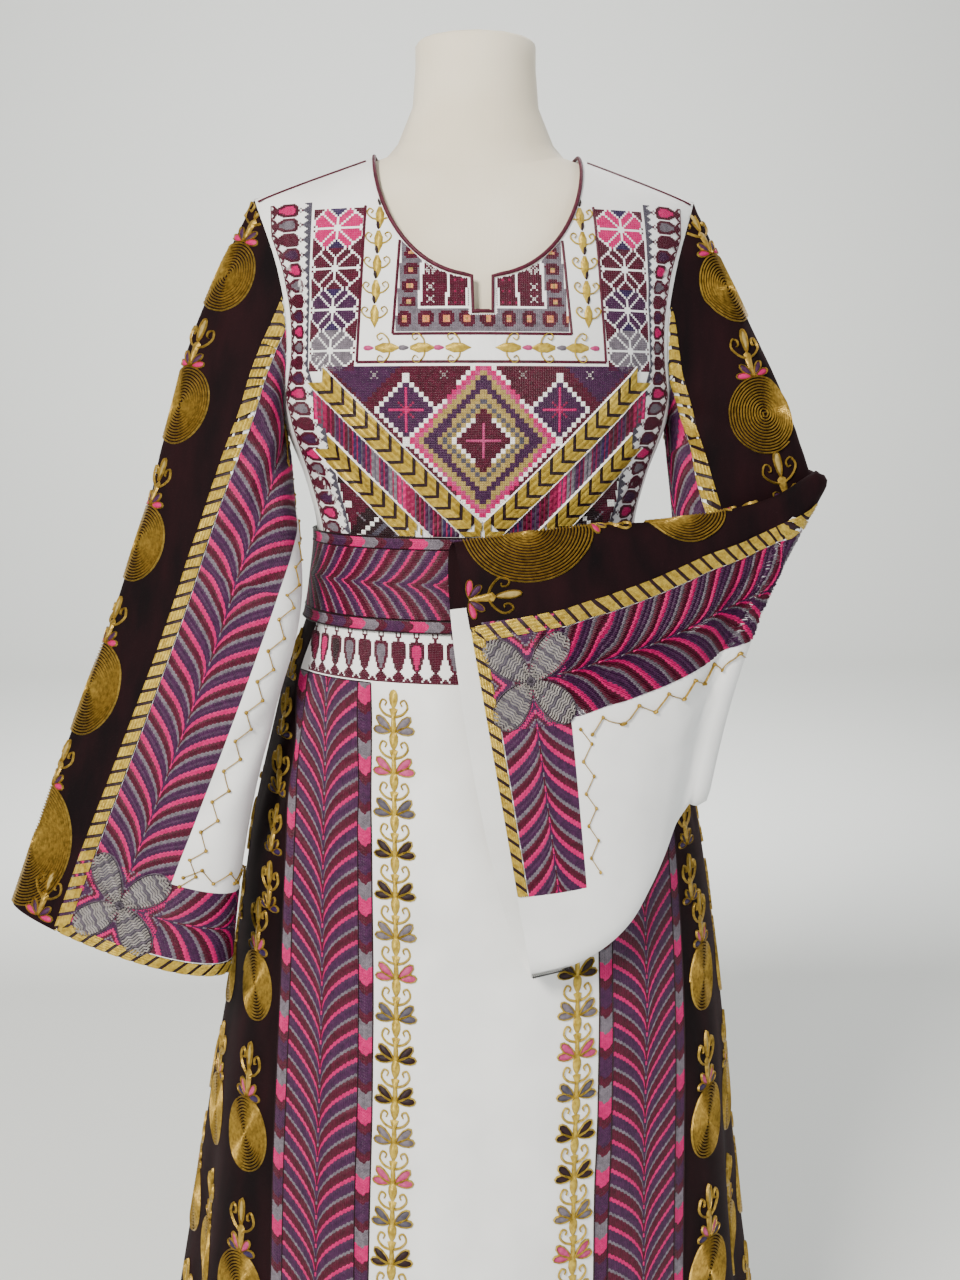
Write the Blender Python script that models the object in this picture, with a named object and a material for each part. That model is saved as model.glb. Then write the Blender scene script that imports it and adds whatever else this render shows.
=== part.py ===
"""Long embroidered thobe dress standing on a limbless dress form.

Metres, +Z up.  The dress faces -Y and +X is the viewer's right.  The origin is on the floor,
under the middle of the form's base plate.  Every cloth piece is a wall: a grid of outer points,
worked out from the tables below, and the same grid moved in by one cloth thickness.
"""
import math

import bmesh
import bpy
import numpy as np

# ---------------------------------------------------------------- driving sizes
CLOTH = 0.0015              # cloth and its embroidery backing
TRIM = 0.0014               # gold braid and binding laid on the cloth
SEAM = 0.0003               # gap left at every seam
LAID = 0.0006               # gap under what lies on a curved panel

HEM_Z = 0.045
WAIST_Z = 1.045             # waist seam, hidden by the belt
BELT_LOW_Z = 1.000
BELT_TOP_Z = 1.089
BELT_THICK = 0.0022
BELT_GAP = 0.0014
BRAID_PROUD = 0.0008        # chevron braid stands this much above the belt and the bands
BRAID_WIDE = 0.009
HIP_SEAM_Z = 0.955          # lower edge of the hip band

BINDING_R = 0.0018
BINDING_PROUD = 0.0009      # the binding's middle stands this far outside the cloth

ARMPIT_Z = 1.193
SHOULDER_Z = 1.407          # shoulder tip
SHOULDER_X = 0.215
NECK_POINT_X = 0.100        # neckline meets the shoulder seam
NECK_POINT_Z = 1.446
NECK_DEPTH = 0.112          # neckline drop from the neck point
BACK_NECK_DEPTH = 0.022
NOTCH_HALF = 0.011
NOTCH_Z = 1.297
NOTCH_TAPER = 0.0008         # the notch is narrower at its foot by this much each side
NOTCH_CLEAR = 0.020          # no neckline points are kept nearer the notch than this
CLOSE_Z = 1.330             # the chest starts to round over to the shoulder here
CROWN_Z = 1.470             # where the rounded chest would close at the middle
ARMHOLE_TURN = math.radians(25)   # how far round the chest the armhole is cut
ARMHOLE_CLEAR = 0.0004      # sideways gap of the sleeve from the armhole's edge

BAND_IN_X = 0.1055          # inner edge of the skirt's fishbone bands
BAND_BRAID = 0.0140         # chevron braid along each edge of a band

GOLD_WIDE = 0.0160          # gold braid beside the velvet and round the cuff

FORM_BOTTOM_Z = 0.800
FORM_ROWS = 14
FORM_TOP_Z = 1.552
FORM_NECK_R = 0.058
FORM_NECK_BASE_X = 0.078
FORM_CLEAR = 0.0075         # air between form and cloth, away from the shoulders
FORM_SEAT = 0.0016          # air where the shoulders carry the dress
FORM_SEAT_Z, FORM_SEAT_RISE = 1.36, 0.06   # the air closes up over this height
FORM_NECK_FOOT_Z = 1.434    # foot of the neck, in the middle of the front
FORM_NECK_RISE = 0.014      # and how much higher it is at the sides
FORM_NECK_COLUMNS = 5
FORM_CREST_COLUMNS = 6
FORM_CREST_IN = 0.010       # the shoulder crest starts this far out from the neck
FORM_CREST_OUT = 0.003      # and ends this far in from the shoulder's tip
FORM_TIP_SPREAD = 0.05      # the shoulder's tip drops over this width
FORM_ROW_POWER = 2.4        # rows gather towards the crest with this power
FORM_TURN_POWER = 3         # columns turn in to the crest with this one
FORM_SEAT_POWER = 6         # and the shoulders drop clear of the cloth with this one
FORM_TIP_X, FORM_TIP_DROP = 0.14, 0.0016   # the shoulder tips lie this much lower
POLE_R = 0.016
COLLAR_R = 0.030
COLLAR_H = 0.045
COLLAR_SHOULDER = 0.7       # the collar is straight up to this share of its height
COLLAR_LIP = 0.006
POLE_SIDES = 24
BASE_R = 0.190
BASE_H = 0.012

# neck of the form, from its foot up: share of the way to a round ring, its radius and height
FORM_NECK = (
    (0.45, 0.062, 1.475), (0.85, 0.0585, 1.500), (1.0, FORM_NECK_R, 1.530),
    (1.0, FORM_NECK_R, FORM_TOP_Z - 0.003), (1.0, FORM_NECK_R - 0.003, FORM_TOP_Z),
)

# shape of the curves
FLUTE_SWELL = 3.2           # a flute's share of the radius, for each unit of depth in the table
FLUTE_GROWTH = 1.2          # flutes deepen towards the hem with this power
ARMHOLE_CURVE = 1.25        # powers that round the armhole and the neckline
NECK_SIDE_CURVE = 0.62
NECK_FOOT_CURVE = 0.95
BACK_NECK_CURVE = 0.75
EDGE_SHARE = 5              # a bodice column turns into the armhole edge with this power
TOP_SHARE = 1.25            # and its rows bend up to the neckline with this one
SIDE_ROW_POWER = 1.3        # the bodice's side rows spread upwards with this power
NECK_COLUMN_POWER = 1.7     # its columns gather at the neck point with this one
EVEN_SHARE = 0.65           # of the columns' spacing; the rest follows the upper edge
SLEEVE_HIGH_SWELL = 0.62    # fullness of the sleeve's section near its top fold
TUCK = 0.55                 # hollow behind the hanging sleeve, as a share of its half depth
TUCK_MIDDLE, TUCK_SPREAD = 0.55, 0.17
TUCK_ONSET = 1.6            # the hollow grows from the armhole at this rate
HANGING_JOIN = 0.22         # share of the sleeve over which it turns out of the armhole
FOLDED_JOIN = 0.30
FLAT_END, FLAT_END_GROWTH = 1.2, 22   # how soon the flattened sleeve rounds over at its folds
INNER_HEM_START = 2.72      # row where the inner layer starts to slide out

# grid counts
SIDE_ROWS = 7
NECK_COLUMNS = 9
SHOULDER_COLUMNS = 5
VELVET_BACK_COLUMNS = 3     # of the velvet strip, behind the sleeve's top fold
VELVET_FRONT_COLUMNS = 4    # and in front of it, closer together near the fold
WHITE_SHARES = (0.26, 0.51, 0.75, 0.92, 1.0)   # columns of a sleeve's white panels
BELT_COLUMNS = 44

# garment outline: height, half width, depth in front, depth behind, shift of the middle in x
OUTLINE_COLUMNS = ("z", "half", "front", "back", "shift")
OUTLINE = (
    (0.045, 0.342, 0.298, 0.262, -0.010),
    (0.150, 0.325, 0.284, 0.246, -0.010),
    (0.306, 0.302, 0.268, 0.226, -0.009),
    (0.397, 0.290, 0.257, 0.214, -0.007),
    (0.486, 0.279, 0.246, 0.202, -0.005),
    (0.573, 0.267, 0.232, 0.190, -0.002),
    (0.660, 0.253, 0.217, 0.178, 0.000),
    (0.784, 0.233, 0.197, 0.160, 0.000),
    (0.870, 0.213, 0.180, 0.145, 0.000),
    (0.955, 0.190, 0.158, 0.127, 0.000),
    (1.000, 0.173, 0.137, 0.112, 0.000),
    (1.045, 0.165, 0.129, 0.105, 0.000),
    (1.089, 0.161, 0.122, 0.104, 0.000),
    (1.140, 0.172, 0.134, 0.110, 0.000),
    (1.193, 0.191, 0.142, 0.118, 0.000),
    (1.260, 0.198, 0.137, 0.124, 0.000),
    (1.320, 0.205, 0.120, 0.122, 0.000),
    (1.370, 0.211, 0.108, 0.114, 0.000),
    (1.407, 0.215, 0.102, 0.106, 0.000),
    (1.470, 0.220, 0.098, 0.098, 0.000),
)

# outer edge of the fishbone bands: height, x from the middle
BAND_OUT_COLUMNS = ("z", "x")
BAND_OUT = (
    (0.045, 0.202), (0.400, 0.200), (0.620, 0.197), (0.784, 0.190), (0.870, 0.184),
    (0.955, 0.175), (1.000, 0.160), (1.045, 0.153),
)

# soft flutes of the skirt: angle from the front in degrees, half width in degrees,
# depth at the hem, height where the flute dies out
FLUTE_COLUMNS = ("angle", "spread", "depth", "top")
FLUTES = (
    (-58, 9, 0.010, 0.80), (-76, 8, -0.014, 0.86), (-97, 10, 0.016, 0.84),
    (-122, 10, -0.020, 0.90), (-146, 11, 0.018, 0.88), (-168, 9, -0.016, 0.92),
    (57, 9, 0.008, 0.74), (74, 8, -0.016, 0.88), (95, 10, 0.014, 0.80),
    (119, 11, -0.018, 0.88), (143, 10, 0.020, 0.92), (170, 10, 0.013, 0.86),
    (-24, 9, 0.004, 0.60), (6, 12, -0.005, 0.66), (31, 9, 0.004, 0.56),
)

# hanging sleeve: way down it, top fold x z, underarm fold x z, their y, half depth
HANGING_COLUMNS = ("way", "top_x", "top_z", "under_x", "under_z", "top_y", "under_y", "depth")
HANGING = (
    (0.000, -0.215, 1.407, -0.191, 1.193, 0.000, 0.000, 0.050),
    (0.080, -0.246, 1.350, -0.185, 1.160, -0.004, -0.020, 0.048),
    (0.170, -0.275, 1.288, -0.180, 1.125, -0.010, -0.045, 0.047),
    (0.280, -0.297, 1.212, -0.173, 1.080, -0.020, -0.070, 0.048),
    (0.390, -0.320, 1.132, -0.171, 1.034, -0.028, -0.084, 0.049),
    (0.500, -0.346, 1.050, -0.178, 0.988, -0.037, -0.092, 0.050),
    (0.610, -0.371, 0.977, -0.197, 0.925, -0.046, -0.099, 0.052),
    (0.720, -0.399, 0.903, -0.217, 0.850, -0.055, -0.105, 0.055),
    (0.860, -0.432, 0.815, -0.235, 0.756, -0.065, -0.111, 0.059),
    (1.000, -0.464, 0.726, -0.246, 0.668, -0.075, -0.117, 0.063),
)

# folded sleeve, upper arm down to the fold
UPPER_COLUMNS = HANGING_COLUMNS[1:]
UPPER = (
    (0.215, 1.407, 0.191, 1.193, 0.000, 0.000, 0.050),
    (0.241, 1.352, 0.194, 1.160, -0.004, -0.006, 0.048),
    (0.268, 1.297, 0.197, 1.110, -0.012, -0.022, 0.043),
    (0.293, 1.245, 0.199, 1.043, -0.022, -0.046, 0.034),
    (0.313, 1.195, 0.200, 0.955, -0.033, -0.082, 0.020),
    (0.328, 1.148, 0.197, 0.835, -0.045, -0.118, 0.0085),
)
# and the forearm, turned over the fold and lying across the front
FOREARM = (
    (0.285, 1.124, 0.182, 0.815, -0.080, -0.150, 0.009),
    (0.235, 1.112, 0.168, 0.790, -0.096, -0.168, 0.011),
    (0.185, 1.105, 0.152, 0.765, -0.109, -0.186, 0.012),
    (0.135, 1.102, 0.133, 0.742, -0.122, -0.204, 0.012),
    (0.085, 1.100, 0.107, 0.724, -0.133, -0.219, 0.012),
    (0.030, 1.094, 0.075, 0.711, -0.139, -0.229, 0.012),
    (-0.027, 1.087, 0.038, 0.703, -0.1375, -0.235, 0.012),
)
FOLD_R = 0.012              # radius of the fold at the elbow
FOLD_BEND = 0.018           # the fold's line bends in by this much at its middle
FOLD_STEPS = 7
SLANT_ROWS = (0.4, 0.75, 1.0, 2.0, 2.25, 2.6)   # rows that meet the underarm edge aslant
SLANT_SHARES = (0.0, 0.1, 0.05, 0.03, 0.1, 0.0)  # are made thin over this share of their half
FOREARM_BOW = 0.016         # the forearm stands out this much over the hip
INNER_HEM_OUT = 0.020       # the inner layer shows this far past the hem

# edges of the velvet strip that runs down a sleeve: lengths round from the top fold, behind and
# in front, at each row of the sleeve
VELVET_NAMES = ("row", "back", "front")
HANGING_VELVET = (
    (0.00, 0.045, 0.080), (0.10, 0.050, 0.093), (0.20, 0.052, 0.100), (0.36, 0.070, 0.088),
    (0.50, 0.080, 0.085), (0.80, 0.080, 0.083), (1.00, 0.075, 0.075),
)
FOLDED_VELVET = (
    (0.00, 0.045, 0.080), (0.18, 0.028, 0.138), (0.40, 0.022, 0.150), (0.60, 0.022, 0.152),
    (0.90, 0.035, 0.148), (1.00, 0.045, 0.140), (2.00, 0.055, 0.120), (2.30, 0.057, 0.090),
    (2.60, 0.062, 0.075), (2.85, 0.072, 0.075), (3.00, 0.075, 0.075),
)

COLOURS = {
    "white crepe": (0.86, 0.85, 0.82, 0.55),
    "burgundy velvet": (0.045, 0.004, 0.010, 0.85),
    "burgundy thread": (0.16, 0.012, 0.045, 0.50),
    "purple thread": (0.20, 0.035, 0.16, 0.50),
    "gold braid": (0.62, 0.40, 0.11, 0.38),
    "cream jersey": (0.80, 0.77, 0.70, 0.80),
    "white lacquered steel": (0.75, 0.75, 0.73, 0.35),
}


# ---------------------------------------------------------------- tables and curves
def column(table, names, name):
    return np.array([row[names.index(name)] for row in table], float)


def smooth(xs, ys, x):
    """Cubic curve through a table's points, with the slopes of its neighbours."""
    xs, ys, x = np.asarray(xs), np.asarray(ys), np.asarray(x, float)
    slopes = np.gradient(ys, xs)
    x = np.clip(x, xs[0], xs[-1])
    i = np.clip(np.searchsorted(xs, x) - 1, 0, len(xs) - 2)
    span = xs[i + 1] - xs[i]
    t = (x - xs[i]) / span
    rise = ys[i] * (1 + 2 * t) * (1 - t) ** 2 + ys[i + 1] * t * t * (3 - 2 * t)
    return rise + span * (slopes[i] * t * (1 - t) ** 2 - slopes[i + 1] * t * t * (1 - t))


def outline(name, z):
    return smooth(column(OUTLINE, OUTLINE_COLUMNS, "z"), column(OUTLINE, OUTLINE_COLUMNS, name), z)


def ease(t):
    t = np.clip(t, 0.0, 1.0)
    return t * t * (3 - 2 * t)


# ---------------------------------------------------------------- the body of the dress
def shoulder_height(x):
    slope = (NECK_POINT_Z - SHOULDER_Z) / (SHOULDER_X - NECK_POINT_X)
    return np.minimum(CROWN_Z, NECK_POINT_Z - (np.abs(x) - NECK_POINT_X) * slope)


def flutes(angle, z):
    """Radial factor of the skirt's soft flutes."""
    total = np.ones(np.broadcast(angle, z).shape)
    for middle, spread, depth, top in FLUTES:
        away = (np.degrees(angle) - middle + 180) % 360 - 180
        grow = ease((top - z) / (top - HEM_Z)) ** FLUTE_GROWTH
        total = total + depth * FLUTE_SWELL * grow * np.exp(-(away / spread) ** 2)
    return total


def body(angle, z, out=0.0):
    """Point of the dress's outside.  The angle is 0 in front, +90 degrees at the viewer's right."""
    angle, z = np.broadcast_arrays(np.asarray(angle, float), np.asarray(z, float))
    depth = np.where(np.cos(angle) < 0, outline("back", z), outline("front", z))
    half = outline("half", z)
    x = half * np.sin(angle)
    room = np.maximum(shoulder_height(x) - CLOSE_Z, 1e-6)
    rise = np.clip((z - CLOSE_Z) / room, 0.0, 1.0)
    y = -depth * np.cos(angle) * np.sqrt(1 - rise ** 2)
    swell = flutes(angle, z)
    nx, ny = np.sin(angle) / half, -np.cos(angle) / depth
    size = np.hypot(nx, ny)
    x = x * swell + out * nx / size + outline("shift", z)
    y = y * swell + out * ny / size
    return np.stack([x, y, z + np.zeros_like(x)], axis=-1)


def body_normals(point, behind):
    """Outward normals of the bodice, as the slope of the function that is nought on it."""
    def level(x, y, z):
        depth = outline("back", z) if behind else outline("front", z)
        room = np.maximum(shoulder_height(x) - CLOSE_Z, 1e-6)
        rise = np.clip((z - CLOSE_Z) / room, 0.0, 1.2)
        return ((x / outline("half", z)) ** 2 - 1) * (1 - rise ** 2) + (y / depth) ** 2

    step = 0.0004
    slope = []
    for axis in range(3):
        shift = np.zeros(3)
        shift[axis] = step
        ahead, before = point + shift, point - shift
        slope.append(level(*np.moveaxis(ahead, -1, 0)) - level(*np.moveaxis(before, -1, 0)))
    slope = np.stack(slope, axis=-1)
    return slope / np.linalg.norm(slope, axis=-1, keepdims=True)


def armhole(turn, side):
    """Armhole edge: turn 0 is the shoulder tip and pi the armpit."""
    z = SHOULDER_Z + (ARMPIT_Z - SHOULDER_Z) * (1 - np.cos(turn)) / 2
    angle = math.pi / 2 - ARMHOLE_TURN * np.abs(np.sin(turn)) ** ARMHOLE_CURVE
    return side * angle, z


def neckline(turn):
    """Half neckline: turn 0 is the neck point, pi/2 the middle."""
    x = NECK_POINT_X * np.cos(turn) ** NECK_SIDE_CURVE
    return x, NECK_POINT_Z - NECK_DEPTH * np.sin(turn) ** NECK_FOOT_CURVE


def back_neckline(x):
    return NECK_POINT_Z - BACK_NECK_DEPTH * (1 - (x / NECK_POINT_X) ** 2) ** BACK_NECK_CURVE


def angle_at(x, z):
    return np.arcsin(np.clip(x / outline("half", z), -1, 1))


def bodice_grid(behind, columns_neck, columns_shoulder, turns):
    """Angles and heights of a bodice panel's grid, from the waist up to neck and shoulders."""
    foot = WAIST_Z + SEAM
    side_rows = foot + (ARMPIT_Z - foot) * np.linspace(0, 1, SIDE_ROWS, endpoint=False) ** SIDE_ROW_POWER
    edge_angle, edge_z = armhole(turns, 1)
    right_angle = np.concatenate([np.full(SIDE_ROWS, math.pi / 2), edge_angle])
    right_z = np.concatenate([side_rows, edge_z])
    share = (right_z - foot) / (SHOULDER_Z - foot)
    if behind:
        neck_x = np.linspace(0, NECK_POINT_X, columns_neck)
        neck_z = back_neckline(neck_x)
        middle = []
    else:
        neck_x, neck_z = neckline(math.pi / 2 * np.linspace(1, 0, columns_neck) ** NECK_COLUMN_POWER)
        neck_z = neck_z[neck_x > NOTCH_CLEAR]
        neck_x = neck_x[neck_x > NOTCH_CLEAR]
        low = NECK_POINT_Z - NECK_DEPTH
        middle = [(0.0, NOTCH_Z), (NOTCH_HALF - NOTCH_TAPER, NOTCH_Z), (NOTCH_HALF, low)]
    seam_x = np.linspace(NECK_POINT_X, SHOULDER_X, columns_shoulder + 1)[1:]
    top_x = np.concatenate([[m[0] for m in middle], neck_x, seam_x])
    top_z = np.concatenate([[m[1] for m in middle], neck_z, shoulder_height(seam_x)])
    top_angle = angle_at(top_x, top_z)
    top_angle[-1] = math.pi / 2
    even = np.linspace(0, 1, len(top_x))
    across = EVEN_SHARE * even + (1 - EVEN_SHARE) * top_x / SHOULDER_X
    foot_angle = across * math.pi / 2
    near_edge, t = across[None, :] ** EDGE_SHARE, share[:, None]
    angle = (1 - t) * foot_angle + t * top_angle
    angle = angle + near_edge * (right_angle[:, None] - math.pi / 2)
    slow = 1 - (1 - t) ** TOP_SHARE
    z = foot + (top_z - foot) * (slow + (t - slow) * near_edge)
    angle = np.concatenate([-angle[:, :0:-1], angle], axis=1)
    z = np.concatenate([z[:, :0:-1], z], axis=1)
    return angle, z


# ---------------------------------------------------------------- sleeves
def sleeve_tables(names, table):
    return {name: column(table, names, name) for name in names}


def hanging_ring(way, turn):
    """Hanging sleeve.  Turn 0 is the top fold, then down the front to the underarm and back up."""
    table = sleeve_tables(HANGING_COLUMNS, HANGING)
    part = {name: smooth(table["way"], table[name], way) for name in HANGING_COLUMNS[1:]}
    turn = turn % (2 * math.pi)
    w = (1 - np.cos(turn)) / 2
    swell = np.sin(turn) * (SLEEVE_HIGH_SWELL + (1 - SLEEVE_HIGH_SWELL) * w)
    hollow = TUCK * np.exp(-((w - TUCK_MIDDLE) / TUCK_SPREAD) ** 2) * ease(way * TUCK_ONSET)
    tuck = np.where(turn > math.pi, hollow, 0)
    x = part["top_x"] + w * (part["under_x"] - part["top_x"])
    z = part["top_z"] + w * (part["under_z"] - part["top_z"])
    y = part["top_y"] + w * (part["under_y"] - part["top_y"]) - part["depth"] * swell * (1 - tuck)
    free = np.stack([x, y, z], axis=-1)
    return join_armhole(free, turn, way / HANGING_JOIN, -1)


def join_armhole(free, turn, way, side):
    """Sleeve section that leaves the armhole edge and turns into its own free section."""
    angle, z = armhole(turn, side)
    edge = np.where((turn <= math.pi)[..., None], body(angle, z), body_behind(angle, z))
    edge = edge + np.array([side * ARMHOLE_CLEAR, 0, 0])
    share = ease(way)
    share = np.asarray(share)[..., None]
    return edge * (1 - share) + free * share


def body_behind(angle, z):
    return body(math.pi - angle, z)


def flat_section(part, turn, row):
    """Half thickness of the folded sleeve: level in the middle, round at both ends."""
    w = (1 - np.cos(turn)) / 2
    length = math.hypot(part["under_x"] - part["top_x"], part["under_z"] - part["top_z"])
    end = min(length / 2, part["depth"] * (FLAT_END + FLAT_END_GROWTH * part["depth"]))
    slant = np.interp(row, SLANT_ROWS, SLANT_SHARES)
    under_end = end + (length / 2 - end) * slant
    from_end = np.minimum(np.minimum(w * length / end, (1 - w) * length / under_end), 1)
    return part["depth"] * np.sign(np.sin(turn)) * np.sqrt(1 - (1 - from_end) ** 2)


def folded_ring(row, turn):
    """Folded sleeve.  Row 0 is the armhole, 1 the start of the fold, 2 its end and 3 the hem."""
    upper, forearm = sleeve_tables(UPPER_COLUMNS, UPPER), sleeve_tables(UPPER_COLUMNS, FOREARM)
    last = {name: upper[name][-1] for name in UPPER_COLUMNS}
    turn = turn % (2 * math.pi)
    w = (1 - np.cos(turn)) / 2
    bend = -FOLD_BEND * np.sin(math.pi * w) * ease((row - 0.5) * 2) * (1 - ease((row - 2) * 2.5))
    if row <= 1:
        stations = np.linspace(0, 1, len(UPPER))
        part = {name: smooth(stations, upper[name], row) for name in UPPER_COLUMNS}
        x = part["top_x"] + w * (part["under_x"] - part["top_x"]) + bend
        z = part["top_z"] + w * (part["under_z"] - part["top_z"])
        y = part["top_y"] + w * (part["under_y"] - part["top_y"]) - flat_section(part, turn, row)
        free = np.stack([x, y, z], axis=-1)
        return join_armhole(free, turn, np.full(np.shape(turn), row / FOLDED_JOIN), 1)
    if row < 2:
        along = np.array([last["under_x"] - last["top_x"], last["under_z"] - last["top_z"]])
        out = np.array([-along[1], along[0]]) / np.hypot(*along)
        roll = (row - 1) * math.pi
        reach = FOLD_R - flat_section(last, turn, row)
        x = last["top_x"] + w * along[0] + out[0] * reach * math.sin(roll) + bend
        z = last["top_z"] + w * along[1] + out[1] * reach * math.sin(roll)
        y = last["top_y"] + w * (last["under_y"] - last["top_y"])
        y = y - FOLD_R + reach * math.cos(roll)
        return np.stack([x, y, z], axis=-1)
    stations = np.linspace(0, 1, len(FOREARM) + 1)
    part = {}
    for name in UPPER_COLUMNS:
        first = last[name] - (2 * FOLD_R if name.endswith("_y") else 0)
        part[name] = smooth(stations, np.concatenate([[first], forearm[name]]), row - 2)
    bow = FOREARM_BOW * ease((row - 2) * 1.6)
    hem = ease((row - INNER_HEM_START) / (3 - INNER_HEM_START)) * INNER_HEM_OUT
    inner = np.clip(np.sin(turn), 0, 1)
    x = part["top_x"] + w * (part["under_x"] - part["top_x"]) - hem * inner + bend
    z = part["top_z"] + w * (part["under_z"] - part["top_z"])
    y = part["top_y"] + w * (part["under_y"] - part["top_y"]) + flat_section(part, turn, row)
    y = y - bow * np.sin(math.pi * w) ** 1.2
    return np.stack([x, y, z], axis=-1)


def ring_length(ring, where):
    """Dense turns round a sleeve section and the length from the top fold to each."""
    turns = np.linspace(0, 2 * math.pi, 361)
    points = ring(where, turns)
    steps = np.linalg.norm(np.diff(points, axis=0), axis=1)
    return turns, np.concatenate([[0], np.cumsum(steps)])


def sleeve_grid(ring, rows, edges, side):
    """Outer points of a sleeve piece and their normals, from the cuff up to the armhole.

    edges(whole, half, row) gives the piece's columns as lengths round the section from the top fold.
    """
    points, normals = [], []
    small_turn, small_row = 0.01, 0.004
    for where in rows[::-1]:
        turns, lengths = ring_length(ring, where)
        columns = edges(lengths[-1], np.interp(math.pi, turns, lengths), where)
        turn = np.interp(columns % lengths[-1], lengths, turns)
        points.append(ring(where, turn))
        round_it = ring(where, turn + small_turn) - ring(where, turn - small_turn)
        low, high = max(where - small_row, rows[0]), min(where + small_row, rows[-1])
        if where == rows[0]:
            high = rows[1] * 0.6
        down = ring(high, turn) - ring(low, turn)
        normal = np.cross(round_it, down) * side
        normals.append(normal / np.linalg.norm(normal, axis=1, keepdims=True))
    points, normals = np.array(points), np.array(normals)
    armhole_normals = normals[-1] + 2 * normals[-2]
    normals[-1] = armhole_normals / np.linalg.norm(armhole_normals, axis=1, keepdims=True)
    if side > 0:
        points, normals = points[:, ::-1], normals[:, ::-1]
    return points, normals


# ---------------------------------------------------------------- meshes
def material(name):
    found = bpy.data.materials.get(name)
    if found:
        return found
    red, green, blue, rough = COLOURS[name]
    made = bpy.data.materials.new(name)
    made.use_nodes = True
    shader = made.node_tree.nodes["Principled BSDF"]
    shader.inputs["Base Color"].default_value = (red, green, blue, 1)
    shader.inputs["Roughness"].default_value = rough
    shader.inputs["Metallic"].default_value = 0.6 if "gold" in name else 0.0
    return made


def add_object(name, points, faces, finish):
    mesh = bpy.data.meshes.new(name)
    mesh.from_pydata([tuple(float(c) for c in p) for p in points], [], faces)
    mesh.validate()
    whole = bmesh.new()
    whole.from_mesh(mesh)
    bmesh.ops.remove_doubles(whole, verts=whole.verts, dist=1e-5)
    bmesh.ops.triangulate(whole, faces=whole.faces)
    whole.to_mesh(mesh)
    whole.free()
    mesh.materials.append(material(finish))
    mesh.shade_smooth()
    mesh.set_sharp_from_angle(angle=math.radians(50))
    made = bpy.data.objects.new(name, mesh)
    bpy.context.scene.collection.objects.link(made)
    return made


def grid_normals(grid, closed):
    """Unit normals, outward when rows go up and columns go right as seen from outside."""
    if closed:
        across = np.roll(grid, -1, axis=1) - np.roll(grid, 1, axis=1)
    else:
        across = np.gradient(grid, axis=1)
    normals = np.cross(across, np.gradient(grid, axis=0))
    size = np.linalg.norm(normals, axis=2, keepdims=True)
    return normals / np.maximum(size, 1e-12)


def cloth_wall(name, grid, finish, thick=CLOTH, closed=False, into=None, raise_by=None,
               normals=None):
    """Closed wall: the outer grid, the same grid moved in, and strips round its open edges.

    into gives the way in at a seam, so that both walls there end on one plane; it is nan elsewhere.
    """
    if normals is None:
        normals = grid_normals(grid, closed)
    inward = -normals if into is None else np.where(np.isnan(into), -normals, into)
    inner = grid + inward * thick
    outer = grid if raise_by is None else grid + normals * raise_by
    rows, columns = grid.shape[:2]
    count = rows * columns
    faces = []
    last = columns if closed else columns - 1
    for i in range(rows - 1):
        for j in range(last):
            k = (j + 1) % columns
            a, b, c, d = i * columns + j, i * columns + k, (i + 1) * columns + k, (i + 1) * columns + j
            faces.append((a, b, c, d))
            faces.append((count + a, count + d, count + c, count + b))
    for j in range(last):
        k = (j + 1) % columns
        low, high = 0, (rows - 1) * columns
        faces.append((low + j, count + low + j, count + low + k, low + k))
        faces.append((high + j, high + k, count + high + k, count + high + j))
    if not closed:
        for i in range(rows - 1):
            a, b = i * columns, (i + 1) * columns
            faces.append((a, b, count + b, count + a))
            a, b = a + columns - 1, b + columns - 1
            faces.append((a, count + a, count + b, b))
    points = np.concatenate([outer.reshape(-1, 3), inner.reshape(-1, 3)])
    return add_object(name, points, faces, finish)


def tube(name, path, radius, finish, sides=5):
    """Round cord through the path's points, each with its own pair of side directions."""
    count = len(path)
    points, faces = [], []
    for k in range(count):
        ahead = path[(k + 1) % count] - path[k - 1]
        ahead = ahead / np.linalg.norm(ahead)
        first = np.cross(ahead, (0.0, 0.31, 0.95))
        first = first / np.linalg.norm(first)
        second = np.cross(ahead, first)
        for side in range(sides):
            turn = 2 * math.pi * side / sides
            points.append(path[k] + radius * (math.cos(turn) * first + math.sin(turn) * second))
    for k in range(count):
        for side in range(sides):
            near, far = k * sides, ((k + 1) % count) * sides
            nxt = (side + 1) % sides
            faces.append((near + side, far + side, far + nxt, near + nxt)[::-1])
    return add_object(name, points, faces, finish)


def turned(name, profile, finish, sides=36):
    """Solid turned about +Z from (radius, height) pairs, going up its outside."""
    points, faces = [], []
    for radius, height in profile:
        for side in range(sides):
            turn = 2 * math.pi * side / sides
            points.append((radius * math.cos(turn), radius * math.sin(turn), height))
    for k in range(len(profile) - 1):
        for side in range(sides):
            nxt = (side + 1) % sides
            faces.append((k * sides + side, k * sides + nxt, (k + 1) * sides + nxt, (k + 1) * sides + side))
    faces.append(tuple(range(sides - 1, -1, -1)))
    faces.append(tuple(range((len(profile) - 1) * sides, len(profile) * sides)))
    return add_object(name, points, faces, finish)


# ---------------------------------------------------------------- pieces of the dress
def to_armhole(edge, normals, side):
    """Way in of bodice and sleeve walls at the armhole, the same for both over the shoulder."""
    middle, reach = (SHOULDER_Z + ARMPIT_Z) / 2, (SHOULDER_Z - ARMPIT_Z) / 2
    height = (edge[..., 2] - middle) / reach
    shared = np.stack([-side * 0.9 + 0 * height, -edge[..., 1] / 0.05, -height], axis=-1)
    shared /= np.linalg.norm(shared, axis=-1, keepdims=True)
    way = -normals + (shared + normals) * ease(height * 1.6)[..., None]
    return way / np.linalg.norm(way, axis=-1, keepdims=True)


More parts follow.
